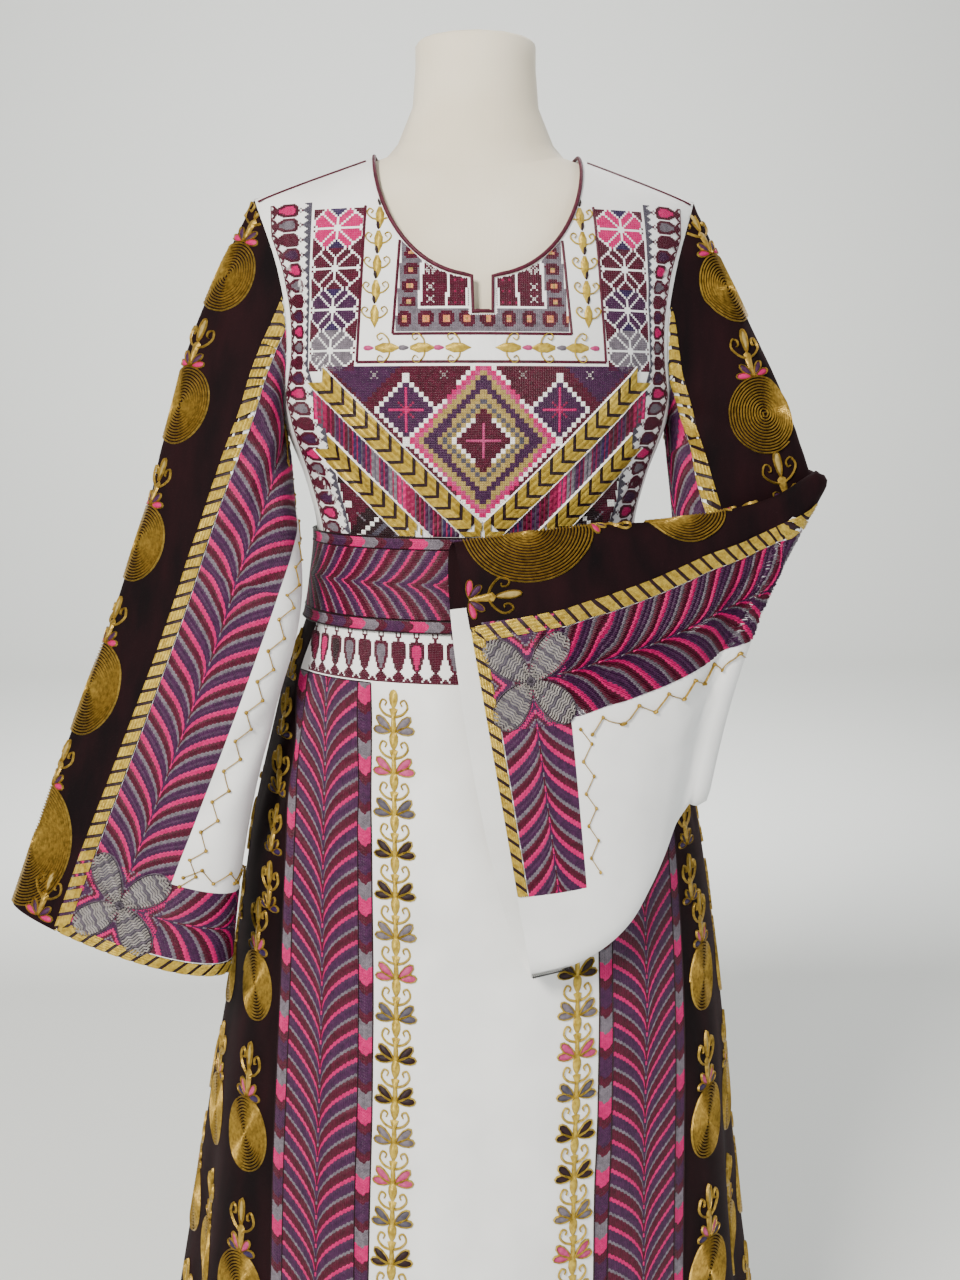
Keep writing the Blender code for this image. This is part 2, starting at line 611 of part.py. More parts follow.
def bodice_panel(behind, columns_neck, columns_shoulder):
    """Outer grid of a bodice panel and the way in of its walls at the seams."""
    turns = armhole_turns(behind)
    angle, z = bodice_grid(behind, columns_neck, columns_shoulder, turns)
    if behind:
        grid = body_behind(angle, z)[:, ::-1] + np.array([0, SEAM / 2, 0])
    else:
        grid = body(angle, z) - np.array([0, SEAM / 2, 0])
    normals = body_normals(grid, behind)
    into = np.full(grid.shape, np.nan)
    rows = slice(SIDE_ROWS + 1, None)
    for edge in (0, -1):
        side = np.sign(grid[0, edge, 0])
        into[rows, edge] = to_armhole(grid[rows, edge], normals[rows, edge], side)
    return grid, normals, into


def build_bodice():
    """Front and back, and the burgundy binding that lies on the raw edge of the neck."""
    skip = SHOULDER_COLUMNS
    front, front_normals, into = bodice_panel(False, NECK_COLUMNS, skip)
    cloth_wall("bodice_front", front, "white crepe", into=into, normals=front_normals)
    back, back_normals, into = bodice_panel(True, NECK_COLUMNS, skip)
    cloth_wall("bodice_back", back, "white crepe", into=into, normals=back_normals)
    edges = np.concatenate([front[-1, skip:-skip], back[-1, skip + 1:-skip - 1]])
    normals = np.concatenate([front_normals[-1, skip:-skip], back_normals[-1, skip + 1:-skip - 1]])
    ahead = np.roll(edges, -1, axis=0) - edges
    ahead /= np.linalg.norm(ahead, axis=1, keepdims=True)
    away = np.cross(normals, ahead)
    away_before = np.cross(normals, np.roll(ahead, 1, axis=0))
    away /= np.linalg.norm(away, axis=1, keepdims=True)
    away_before /= np.linalg.norm(away_before, axis=1, keepdims=True)
    mitre = (away + away_before) / (1 + np.sum(away * away_before, axis=1, keepdims=True))
    path = edges + mitre * (BINDING_R + SEAM * 1.4) + normals * BINDING_PROUD
    tube("neck_binding", path, BINDING_R, "burgundy thread")


def band_edges(z):
    inner = angle_at(np.full_like(z, BAND_IN_X), z)
    outer = angle_at(smooth(column(BAND_OUT, BAND_OUT_COLUMNS, "z"),
                            column(BAND_OUT, BAND_OUT_COLUMNS, "x"), z), z)
    return inner, outer


def skirt_heights(high):
    """Rows of a skirt piece, closer together where the waist curves in."""
    return np.concatenate([np.linspace(HEM_Z, HIP_SEAM_Z - 0.06, 11), [HIP_SEAM_Z - 0.03, high]])


def skirt_panel(name, z, start, end, columns, finish, braid=None):
    """Skirt piece between two edges, given as angles at each height."""
    first, last = start(z), end(z)
    gap = SEAM / 2 / outline("half", z)
    first, last = first + gap, last - gap
    shares = np.linspace(0, 1, columns)
    rise = None
    if braid:
        width = (last - first) * (outline("half", z) + outline("front", z)) / 2
        inset = np.mean(braid / width)
        shares = np.concatenate([[0, inset, inset + 0.015],
                                 np.linspace(inset, 1 - inset, columns - 4)[1:-1],
                                 [1 - inset - 0.015, 1 - inset, 1]])
        rise = np.zeros((len(z), len(shares), 1))
        rise[:, [0, 1, -2, -1]] = BRAID_PROUD
    angle = first[:, None] + (last - first)[:, None] * shares[None, :]
    grid = body(angle, np.broadcast_to(z[:, None], angle.shape))
    into = np.full(grid.shape, np.nan)
    depth = np.where(np.cos(angle) < 0, outline("back", z)[:, None], outline("front", z)[:, None])
    way = [-np.sin(angle) / outline("half", z)[:, None], np.cos(angle) / depth, 0 * angle]
    way = np.stack(way, axis=-1) / np.linalg.norm(way, axis=0)[..., None]
    for edge in (0, -1):
        into[:, edge] = way[:, edge]
        into[edge] = way[edge]
    return cloth_wall(name, grid, finish, raise_by=rise, into=into)


def build_skirt():
    inner = lambda z: band_edges(z)[0]
    outer = lambda z: band_edges(z)[1]
    at = lambda degrees: (lambda z: np.full_like(z, math.radians(degrees)))
    low = skirt_heights(HIP_SEAM_Z - SEAM)
    hip = np.linspace(HIP_SEAM_Z, WAIST_Z - SEAM, 6)
    full = np.concatenate([low[:-1], hip])
    white, purple, velvet = "white crepe", "purple thread", "burgundy velvet"
    skirt_panel("skirt_front", low, lambda z: -inner(z), inner, 10, white)
    skirt_panel("skirt_band_left", low, lambda z: -outer(z), lambda z: -inner(z), 9, purple, BAND_BRAID)
    skirt_panel("skirt_band_right", low, inner, outer, 9, purple, BAND_BRAID)
    skirt_panel("skirt_side_left", full, at(-90), lambda z: -outer(z), 8, velvet)
    skirt_panel("skirt_side_right", full, outer, at(90), 8, velvet)
    skirt_panel("skirt_side_back_left", full, at(-132), at(-90), 6, velvet)
    skirt_panel("skirt_side_back_right", full, at(90), at(132), 6, velvet)
    skirt_panel("skirt_back", full, at(132), at(228), 12, white)
    skirt_panel("hip_band", hip, lambda z: -outer(z), outer, 19, white)


def build_belt():
    """Belt all round the waist, with its chevron braid standing proud along both edges."""
    step = BRAID_PROUD
    heights = np.array([BELT_LOW_Z, BELT_LOW_Z + BRAID_WIDE, BELT_LOW_Z + BRAID_WIDE + step,
                        WAIST_Z, BELT_TOP_Z - BRAID_WIDE - step, BELT_TOP_Z - BRAID_WIDE, BELT_TOP_Z])
    proud = np.array([1, 1, 0, 0, 0, 1, 1])[:, None, None] * BRAID_PROUD
    angles = np.linspace(-math.pi, math.pi, BELT_COLUMNS + 1)[:-1]
    angle, z = np.meshgrid(angles, heights)
    grid = body(angle, z, out=BELT_GAP + BELT_THICK)
    return cloth_wall("belt", grid, "purple thread", thick=BELT_THICK, closed=True, raise_by=proud)


# ---------------------------------------------------------------- pieces of the sleeves
def velvet_edges(table, row):
    rows = column(table, VELVET_NAMES, "row")
    return [np.interp(row, rows, column(table, VELVET_NAMES, name)) for name in ("back", "front")]


def velvet_columns(back, front):
    """Columns of the velvet strip, one of them on the top fold, where the shoulder tip is."""
    behind = np.linspace(SEAM / 2 - back, 0, VELVET_BACK_COLUMNS, endpoint=False)
    shares = np.linspace(0, 1, VELVET_FRONT_COLUMNS + 1) ** 1.1
    return np.concatenate([behind, (front - SEAM / 2) * shares])


def white_columns(edge, half):
    """Columns of a white panel, from the velvet's edge to the underarm, with room for the gold."""
    start = edge + SEAM / 2
    white = start + GOLD_WIDE
    return np.concatenate([[start, start + GOLD_WIDE / 2, white],
                           white + (half - SEAM / 2 - white) * np.array(WHITE_SHARES)])


def laid_strip(name, grid, normals, rows, columns, finish="gold braid"):
    """Braid over some of a panel's rows and columns, made from its points and moved out."""
    strip = grid[rows, columns] + normals[rows, columns] * (LAID + TRIM)
    return cloth_wall(name, strip, finish, thick=TRIM, normals=normals[rows, columns])


def armhole_turns(behind):
    """Turns of the sleeve's own columns at the armhole, from the armpit to the shoulder tip."""
    turns, lengths = ring_length(hanging_ring, 0.0)
    whole, half = lengths[-1], np.interp(math.pi, turns, lengths)
    back, front = velvet_edges(HANGING_VELVET, 0.0)
    velvet = velvet_columns(back, front)
    if behind:
        half = whole - half
        beside = -velvet[VELVET_BACK_COLUMNS:0:-1]
        columns = np.concatenate([beside, white_columns(back, half)])
    else:
        columns = np.concatenate([velvet[VELVET_BACK_COLUMNS:-1], white_columns(front, half)])
    columns[-1] = half
    if behind:
        return 2 * math.pi - np.interp(whole - columns, lengths, turns)[::-1]
    return np.interp(columns, lengths, turns)[::-1]


def sleeve_pieces(prefix, ring, rows, side, edges):
    """Velvet strip, front and back of a sleeve, with gold braid beside the velvet and at the hem."""
    def velvet(whole, half, row):
        return velvet_columns(*velvet_edges(edges, row)) + whole

    def front(whole, half, row):
        return white_columns(velvet_edges(edges, row)[1], half)

    def back(whole, half, row):
        return whole - white_columns(velvet_edges(edges, row)[0], whole - half)[::-1]

    for piece, columns, finish in (("velvet", velvet, "burgundy velvet"),
                                   ("front", front, "white crepe"), ("back", back, "white crepe")):
        grid, normals = sleeve_grid(ring, rows, columns, side)
        into = np.full(grid.shape, np.nan)
        into[-1] = to_armhole(grid[-1], normals[-1], side)
        cloth_wall(prefix + "_" + piece, grid, finish, into=into, normals=normals)
        if piece == "velvet":
            continue
        starts_left = (piece == "front") == (side < 0)
        beside = slice(0, 3) if starts_left else slice(-3, None)
        laid_strip(prefix + "_gold_" + piece, grid, normals, slice(0, -1), beside)
        hem = grid.copy()
        first, second = (2, 3) if starts_left else (-3, -4)
        hem[:, first] += (grid[:, second] - grid[:, first]) * 0.03
        laid_strip(prefix + "_hem_" + piece, hem, normals, slice(0, 3), slice(2, -2))


def build_sleeves():
    cuff = np.array([0.977, 0.9885, 1.0])
    ways = np.concatenate([[0.0, 0.11], np.linspace(0.18, 0.93, 12), cuff])
    sleeve_pieces("hanging_sleeve", hanging_ring, ways, -1, HANGING_VELVET)
    upper = np.concatenate([[0.0, 0.12], np.linspace(0.22, 0.90, 6)])
    fold = 1 + np.linspace(0, 1, FOLD_STEPS + 1)
    lying = 2 + np.concatenate([np.linspace(0.08, 0.90, 8), 1 - (1 - cuff) * 1.9])
    rows = np.concatenate([upper, fold, lying])
    sleeve_pieces("folded_sleeve", folded_ring, rows, 1, FOLDED_VELVET)


# ---------------------------------------------------------------- the dress form
def form_inset(angle, z, behind):
    """Point of the form: the dress's outside, moved in by cloth and air."""
    near = ease((z - FORM_SEAT_Z) / FORM_SEAT_RISE)
    inset = CLOTH + FORM_CLEAR + (FORM_SEAT - FORM_CLEAR) * near
    half = outline("half", z)
    shrink = (half - inset) / half
    point = body_behind(angle, z) if behind else body(angle, z)
    depth = np.abs(point[..., 1])
    y = np.maximum(depth - inset, 0.0) * (1 if behind else -1)
    return np.stack([point[..., 0] * shrink, y, point[..., 2]], axis=-1)


def build_form():
    """Torso and neck in one closed skin: rings up to the shoulder crest, then the neck."""
    neck_x = FORM_NECK_BASE_X * np.sin(np.linspace(0, math.pi / 2, FORM_NECK_COLUMNS))
    crest_x = np.linspace(FORM_NECK_BASE_X + FORM_CREST_IN, SHOULDER_X - FORM_CREST_OUT,
                          FORM_CREST_COLUMNS)
    top_x = np.concatenate([neck_x, crest_x])
    neck_z = FORM_NECK_FOOT_Z + FORM_NECK_RISE * (neck_x / FORM_NECK_BASE_X) ** 2
    top_z = np.concatenate([neck_z, shoulder_height(crest_x)])
    top_angle = angle_at(top_x, top_z)
    top_angle[-1] = math.pi / 2
    foot = top_x / top_x[-1] * math.pi / 2
    share = 1 - (1 - np.linspace(0, 1, FORM_ROWS)[:, None]) ** FORM_ROW_POWER
    angle = foot + (top_angle - foot) * share ** FORM_TURN_POWER
    z = FORM_BOTTOM_Z + (top_z - FORM_BOTTOM_Z) * share
    front, back = form_inset(angle, z, False), form_inset(angle, z, True)
    for half in (front, back):
        tip = ease((np.abs(half[..., 0]) - FORM_TIP_X) / FORM_TIP_SPREAD) * FORM_TIP_DROP
        half[..., 2] -= (CLOTH + FORM_SEAT + tip) * share ** FORM_SEAT_POWER
    flip = np.array([-1, 1, 1])
    rings = np.concatenate([front, back[:, -2::-1], back[:, 1:-1] * flip,
                            (front * flip)[:, :0:-1]], axis=1)
    size = rings.shape[1]
    points = list(rings.reshape(-1, 3))
    faces = []
    for i in range(FORM_ROWS - 1):
        for j in range(size):
            k = (j + 1) % size
            faces.append((i * size + j, i * size + k, (i + 1) * size + k, (i + 1) * size + j))
    faces.append(tuple(range(size - 1, -1, -1)))
    top = (FORM_ROWS - 1) * size
    neck, wide = len(neck_x), len(top_x)
    ahead = list(range(neck + 1))
    behind = list(range(2 * wide - 2 - neck + 1, 2 * wide - 2 + neck))
    ring = [top + k for k in ahead + behind + list(range(size - neck, size))]
    ring = list(dict.fromkeys(ring))
    for blend, radius, height in FORM_NECK:
        new = []
        for vertex in ring:
            x, y, z0 = points[vertex]
            turn = math.atan2(y, x)
            aim = np.array([radius * math.cos(turn), radius * math.sin(turn), height])
            points.append(points[vertex] * (1 - blend) + aim * blend)
            new.append(len(points) - 1)
        for k in range(len(ring)):
            n = (k + 1) % len(ring)
            faces.append((ring[k], ring[n], new[n], new[k]))
        ring = new
    faces.append(tuple(ring))
    add_object("form_body", points, faces, "cream jersey")


def build_stand():
    bevel = 0.003
    turned("form_base", [(BASE_R - bevel, 0.0), (BASE_R, bevel), (BASE_R, BASE_H - bevel),
                         (BASE_R - bevel, BASE_H)], "white lacquered steel")
    low = BASE_H + SEAM
    turned("form_collar", [(COLLAR_R, low), (COLLAR_R, low + COLLAR_H * COLLAR_SHOULDER),
                           (POLE_R + COLLAR_LIP, low + COLLAR_H)], "white lacquered steel", POLE_SIDES)
    turned("form_pole", [(POLE_R, low + COLLAR_H + SEAM), (POLE_R, FORM_BOTTOM_Z - SEAM)],
           "white lacquered steel", POLE_SIDES)


def main():
    for old in list(bpy.data.objects):
        bpy.data.objects.remove(old, do_unlink=True)
    build_form()
    build_stand()
    build_bodice()
    build_skirt()
    build_belt()
    build_sleeves()


main()
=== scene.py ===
# Looks of a long embroidered thobe with belt on a limbless dress form.
# Metres, +Z up, the front of the dress faces -Y and +X is the viewer's right.
import math

import bmesh
import bpy
import numpy as np
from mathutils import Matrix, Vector


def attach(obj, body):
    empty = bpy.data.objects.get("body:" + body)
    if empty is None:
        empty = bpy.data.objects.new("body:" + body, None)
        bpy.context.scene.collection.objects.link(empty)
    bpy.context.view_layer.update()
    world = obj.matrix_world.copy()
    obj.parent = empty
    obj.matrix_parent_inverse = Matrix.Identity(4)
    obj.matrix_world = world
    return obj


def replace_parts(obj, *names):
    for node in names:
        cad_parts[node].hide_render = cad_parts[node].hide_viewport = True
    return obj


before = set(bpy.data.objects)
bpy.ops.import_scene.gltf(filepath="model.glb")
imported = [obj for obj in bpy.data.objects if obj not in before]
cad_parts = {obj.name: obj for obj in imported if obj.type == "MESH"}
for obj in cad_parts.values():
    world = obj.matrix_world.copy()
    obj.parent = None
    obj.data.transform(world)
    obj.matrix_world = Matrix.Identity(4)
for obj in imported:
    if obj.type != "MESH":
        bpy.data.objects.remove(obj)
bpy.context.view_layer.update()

camera = dict(lens=38.6, sensor=36, near=0.05, pitch=9.9, yaw=-3.0, away=1.3975, height=1.215, aside=0.0041)
# lights: place, what they look at, size, watts and tint
lights = dict(
    key=((-1.7, -2.7, 3.0), (0, 0, 0.95), 1.0, 240, "fffaf2"),
    fill=((2.6, -2.2, 1.6), (0, 0, 0.9), 2.0, 36, "f4f7ff"),
    back=((0.8, 1.6, 2.8), (0, 0, 1.0), 1.6, 30, "ffffff"),
    wall=((0, 1.8, 2.4), (0, 6, 1.6), 2.4, 170, "ffffff"),
)
studio = dict(sky="f1f1ee", strength=0.60, ground="e8eae7", front=-6.0, wall=4.7925, bend=1.2, top=9.0,
              wide=12.0)


def addObject(name, data):
    made = bpy.data.objects.new(name, data)
    bpy.context.scene.collection.objects.link(made)
    return made


def addCamera():
    pitch, yaw = math.radians(camera["pitch"]), math.radians(camera["yaw"])
    ahead = Vector((-math.sin(yaw) * math.cos(pitch), math.cos(yaw) * math.cos(pitch), -math.sin(pitch)))
    right = Vector((math.cos(yaw), math.sin(yaw), 0))
    data = bpy.data.cameras.new("camera")
    data.lens, data.sensor_width, data.clip_start = camera["lens"], camera["sensor"], camera["near"]
    made = addObject("camera", data)
    middle = Vector((math.sin(yaw), -math.cos(yaw), 0)) * camera["away"]
    made.location = middle + Vector((0, 0, camera["height"])) + right * camera["aside"]
    made.rotation_euler = ahead.to_track_quat("-Z", "Y").to_euler()
    bpy.context.scene.camera = made


def linear(code):
    # sRGB hex to the linear colour that shaders use
    parts = [int(code[i:i + 2], 16) / 255 for i in (0, 2, 4)]
    return tuple(c / 12.92 if c < 0.04045 else ((c + 0.055) / 1.055) ** 2.4 for c in parts) + (1.0,)


def addLight(name, spot, aim, size, watts, tint):
    data = bpy.data.lights.new(name, "AREA")
    data.shape, data.size, data.energy = "SQUARE", size, watts
    data.color = linear(tint)[:3]
    made = addObject(name, data)
    made.location = spot
    made.rotation_euler = (Vector(aim) - Vector(spot)).to_track_quat("-Z", "Y").to_euler()
    made.visible_camera = False


def addNode(tree, kind, links=(), **settings):
    # adds a node; settings are attributes or sockets, links are (socket, source socket) pairs
    node = tree.nodes.new(kind)
    for key, value in settings.items():
        key = key.replace("_", " ")
        if key in node.inputs:
            node.inputs[key].default_value = value
        else:
            setattr(node, key.replace(" ", "_"), value)
    for socket, source in links:
        tree.links.new(source, node.inputs[socket])
    return node


def addStudio():
    world = bpy.data.worlds.new("world")
    bpy.context.scene.world = world
    world.use_nodes = True
    sky = world.node_tree.nodes["Background"]
    sky.inputs["Color"].default_value = linear(studio["sky"])
    sky.inputs["Strength"].default_value = studio["strength"]
    for name, settings in lights.items():
        addLight(name, *settings)
    # pale sweep: floor that curves up into a wall
    wall, bend, wide = studio["wall"], studio["bend"], studio["wide"]
    turns = np.linspace(0, math.pi / 2, 24)
    profile = [(studio["front"], 0.0)]
    profile += [(wall + bend * math.sin(t), bend - bend * math.cos(t)) for t in turns]
    profile += [(wall + bend, studio["top"])]
    points = [(x, y, z) for y, z in profile for x in (-wide, wide)]
    faces = [(2 * k, 2 * k + 1, 2 * k + 3, 2 * k + 2) for k in range(len(profile) - 1)]
    mesh = bpy.data.meshes.new("sweep")
    mesh.from_pydata(points, [], faces)
    mesh.polygons.foreach_set("use_smooth", [True] * len(faces))
    paint, shader = newMaterial("pale painted sweep")[::2]     # quiet ground, no pattern
    shader.inputs["Base Color"].default_value = linear(studio["ground"])
    shader.inputs["Roughness"].default_value = 0.85
    mesh.materials.append(paint)
    addObject("sweep", mesh)


# outline of the dress: height, half width, depth in front and behind, shift to the side
outlineNames = ("z", "half", "front", "back", "shift")
outlineRows = (
    (0.045, 0.342, 0.298, 0.262, -0.010), (0.150, 0.325, 0.284, 0.246, -0.010),
    (0.306, 0.302, 0.268, 0.226, -0.009), (0.397, 0.290, 0.257, 0.214, -0.007),
    (0.486, 0.279, 0.246, 0.202, -0.005), (0.573, 0.267, 0.232, 0.190, -0.002),
    (0.660, 0.253, 0.217, 0.178, 0.000), (0.784, 0.233, 0.197, 0.160, 0.000),
    (0.870, 0.213, 0.180, 0.145, 0.000), (0.955, 0.190, 0.158, 0.127, 0.000),
    (1.000, 0.173, 0.137, 0.112, 0.000), (1.045, 0.165, 0.129, 0.105, 0.000),
    (1.089, 0.161, 0.122, 0.104, 0.000), (1.140, 0.172, 0.134, 0.110, 0.000),
    (1.193, 0.191, 0.142, 0.118, 0.000), (1.260, 0.198, 0.137, 0.124, 0.000),
    (1.320, 0.205, 0.120, 0.122, 0.000), (1.370, 0.211, 0.108, 0.114, 0.000),
    (1.407, 0.215, 0.102, 0.106, 0.000), (1.470, 0.220, 0.098, 0.098, 0.000),
)
# outer edge of the two fishbone bands: height and distance from the middle
bandOutRows = (
    (0.045, 0.202), (0.400, 0.200), (0.620, 0.197), (0.784, 0.190), (0.870, 0.184),
    (0.955, 0.175), (1.000, 0.160), (1.045, 0.153),
)
# soft flutes of the skirt: degrees from the front, half width, depth at the hem, top
fluteGain, fluteGrowth = 3.2, 1.2
fluteRows = (
    (-58, 9, 0.010, 0.80), (-76, 8, -0.014, 0.86), (-97, 10, 0.016, 0.84),
    (-122, 10, -0.020, 0.90), (-146, 11, 0.018, 0.88), (-168, 9, -0.016, 0.92),
    (57, 9, 0.008, 0.74), (74, 8, -0.016, 0.88), (95, 10, 0.014, 0.80),
    (119, 11, -0.018, 0.88), (143, 10, 0.020, 0.92), (170, 10, 0.013, 0.86),
    (-24, 9, 0.004, 0.60), (6, 12, -0.005, 0.66), (31, 9, 0.004, 0.56),
)
# stations of the sleeves from the armhole down: top fold, underarm fold and half depth
sleeveNames = ("topX", "topZ", "underX", "underZ", "topY", "underY", "depth")
hangingRows = (
    (0.000, -0.215, 1.407, -0.191, 1.193, 0.000, 0.000, 0.050),
    (0.080, -0.246, 1.350, -0.185, 1.160, -0.004, -0.020, 0.048),
    (0.170, -0.275, 1.288, -0.180, 1.125, -0.010, -0.045, 0.047),
    (0.280, -0.297, 1.212, -0.173, 1.080, -0.020, -0.070, 0.048),
    (0.390, -0.320, 1.132, -0.171, 1.034, -0.028, -0.084, 0.049),
    (0.500, -0.346, 1.050, -0.178, 0.988, -0.037, -0.092, 0.050),
    (0.610, -0.371, 0.977, -0.197, 0.925, -0.046, -0.099, 0.052),
    (0.720, -0.399, 0.903, -0.217, 0.850, -0.055, -0.105, 0.055),
    (0.860, -0.432, 0.815, -0.235, 0.756, -0.065, -0.111, 0.059),
    (1.000, -0.464, 0.726, -0.246, 0.668, -0.075, -0.117, 0.063),
)
upperRows = (
    (0.215, 1.407, 0.191, 1.193, 0.000, 0.000, 0.050), (0.241, 1.352, 0.194, 1.160, -0.004, -0.006, 0.048),
    (0.268, 1.297, 0.197, 1.110, -0.012, -0.022, 0.043), (0.293, 1.245, 0.199, 1.043, -0.022, -0.046, 0.034),
    (0.313, 1.195, 0.200, 0.955, -0.033, -0.082, 0.020), (0.328, 1.148, 0.197, 0.835, -0.045, -0.118, 0.0085),
)
forearmRows = (
    (0.285, 1.124, 0.182, 0.815, -0.080, -0.150, 0.009), (0.235, 1.112, 0.168, 0.790, -0.096, -0.168, 0.011),
    (0.185, 1.105, 0.152, 0.765, -0.109, -0.186, 0.012), (0.135, 1.102, 0.133, 0.742, -0.122, -0.204, 0.012),
    (0.085, 1.100, 0.107, 0.724, -0.133, -0.219, 0.012), (0.030, 1.094, 0.075, 0.711, -0.139, -0.229, 0.012),
    (-0.027, 1.087, 0.038, 0.703, -0.1375, -0.235, 0.012),
)
# cut of the dress: heights and distances from the middle in metres; sideBack in degrees
cut = dict(hem=0.045, waist=1.045, beltLow=1.000, beltTop=1.089, hipSeam=0.955, armpit=1.193,
           shoulderZ=1.407, shoulderX=0.215, neckX=0.100, neckZ=1.446, neckDepth=0.1215, backNeckDepth=0.022,
           notchHalf=0.011, notchZ=1.2925, closeZ=1.330, crownZ=1.470, armholeTurn=math.radians(25),
           bandIn=0.1055, sideBack=132, beltOut=0.0036, beltThick=0.0021, thick=0.0013, sleeveGap=0.0004)
# how much of each sleeve is drawn in to the armhole, as a share of its ways
armholeShare = dict(hanging=0.22, folded=0.30)
# the folded sleeve: round of the elbow, bows of the cloth, and where the hem opens
fold = dict(radius=0.012, bend=0.018, bow=0.016, hemOut=0.020, hemStart=2.72, hemRows=0.28,
            slantRows=(0.4, 0.75, 1.0, 2.0, 2.25, 2.6), slantShares=(0.0, 0.1, 0.05, 0.03, 0.1, 0.0))


def table(names, rows):
    return dict(zip(names, np.array(rows, float).T))


def smooth(xs, ys, x):
    # cubic curve through a table's points, with the slopes of its neighbours
    xs, ys, x = np.asarray(xs), np.asarray(ys), np.asarray(x, float)
    slopes = np.gradient(ys, xs)
    x = np.clip(x, xs[0], xs[-1])
    i = np.clip(np.searchsorted(xs, x) - 1, 0, len(xs) - 2)
    span = xs[i + 1] - xs[i]
    t = (x - xs[i]) / span
    rise = ys[i] * (1 + 2 * t) * (1 - t) ** 2 + ys[i + 1] * t * t * (3 - 2 * t)
    return rise + span * (slopes[i] * t * (1 - t) ** 2 - slopes[i + 1] * t * t * (1 - t))


def ease(t):
    t = np.clip(t, 0.0, 1.0)
    return t * t * (3 - 2 * t)


outlineTable = table(outlineNames, outlineRows)
bandOutTable = table(("z", "x"), bandOutRows)
hangingTable = table(("way",) + sleeveNames, hangingRows)
upperTable, forearmTable = table(sleeveNames, upperRows), table(sleeveNames, forearmRows)


def outline(name, z):
    return smooth(outlineTable["z"], outlineTable[name], z)


def unit(vectors):
    return vectors / np.maximum(np.linalg.norm(vectors, axis=-1, keepdims=True), 1e-12)


def shoulderHeight(x):
    slope = (cut["neckZ"] - cut["shoulderZ"]) / (cut["shoulderX"] - cut["neckX"])
    return np.minimum(cut["crownZ"], cut["neckZ"] - (np.abs(x) - cut["neckX"]) * slope)


def flutes(angle, z):
    # swell of the skirt: every flute fades upwards and to both sides
    total = np.ones(np.broadcast(angle, z).shape)
    for middle, spread, depth, top in fluteRows:
        away = (np.degrees(angle) - middle + 180) % 360 - 180
        grow = ease((top - z) / (top - cut["hem"])) ** fluteGrowth
        total = total + depth * fluteGain * grow * np.exp(-(away / spread) ** 2)
    return total


def plainBody(angle, z):
    # outside of the dress: the angle is 0 in front and +90 degrees at the viewer's right
    angle, z = np.broadcast_arrays(np.asarray(angle, float), np.asarray(z, float))
    depth = np.where(np.cos(angle) < 0, outline("back", z), outline("front", z))
    x = outline("half", z) * np.sin(angle)
    room = np.maximum(shoulderHeight(x) - cut["closeZ"], 1e-6)
    rise = np.clip((z - cut["closeZ"]) / room, 0.0, 1.0)
    y = -depth * np.cos(angle) * np.sqrt(1 - rise ** 2)
    swell = flutes(angle, z)
    return np.stack([x * swell + outline("shift", z), y * swell, z + np.zeros_like(x)], axis=-1)


def bodyNormal(angle, z):
    # slope of the function that is nought on the body, flutes left out
    point = plainBody(angle, z)
    behind = np.cos(np.asarray(angle, float)) < 0

    def level(x, y, height):
        depth = np.where(behind, outline("back", height), outline("front", height))
        room = np.maximum(shoulderHeight(x) - cut["closeZ"], 1e-6)
        rise = np.clip((height - cut["closeZ"]) / room, 0.0, 1.2)
        across = ((x - outline("shift", height)) / outline("half", height)) ** 2
        return (across - 1) * (1 - rise ** 2) + (y / depth) ** 2

    step = 0.0005
    slope = []
    for axis in range(3):
        shift = np.zeros(3)
        shift[axis] = step
        ahead, before = point + shift, point - shift
        slope.append(level(*np.moveaxis(ahead, -1, 0)) - level(*np.moveaxis(before, -1, 0)))
    return unit(np.stack(slope, axis=-1))


# creases of the body: start and end as degrees and height, half width and depth in mm
bodyCreases = (
    (-33, 0.952, -38, 0.800, 9, 1.8), (-18, 0.950, -20, 0.835, 8, 1.1), (12, 0.940, 9, 0.760, 10, 1.0),
    (41, 0.950, 46, 0.790, 9, 1.7), (-62, 0.990, -70, 0.760, 12, 3.0), (66, 0.985, 73, 0.780, 12, 3.0),
    (-4, 0.700, -9, 0.330, 14, 2.0), (17, 0.560, 21, 0.220, 14, 2.2), (-16, 0.480, -13, 0.120, 13, 2.4),
    (8, 0.360, 5, 0.060, 12, 2.2), (-27, 0.620, -30, 0.300, 10, 1.4), (28, 0.700, 31, 0.380, 10, 1.5),
    (-58, 1.180, -38, 1.118, 9, 2.2), (60, 1.178, 41, 1.112, 9, 2.2), (-66, 1.150, -52, 1.092, 8, 1.8),
    (64, 1.148, 50, 1.096, 8, 1.8), (-52, 1.260, -44, 1.215, 9, 1.3), (50, 1.262, 45, 1.205, 9, 1.3),
    (-20, 1.106, 4, 1.098, 6, 0.7), (118, 1.200, 150, 1.110, 12, 2.6), (-121, 1.195, -148, 1.104, 12, 2.6),
    (160, 0.960, 168, 0.740, 12, 2.6), (-158, 0.955, -170, 0.700, 12, 2.6), (176, 1.190, 181, 1.100, 11, 1.8),
    (132, 0.980, 140, 0.800, 12, 2.2), (-134, 0.975, -141, 0.790, 12, 2.2), (-64, 1.345, -50, 1.300, 9, 1.0),
    (63, 1.350, 50, 1.296, 9, 1.0), (96, 0.980, 100, 0.760, 13, 2.6), (-98, 0.975, -101, 0.740, 13, 2.6),
)
metresPerDegree = math.radians(1) * 0.19     # round the body, at its usual radius


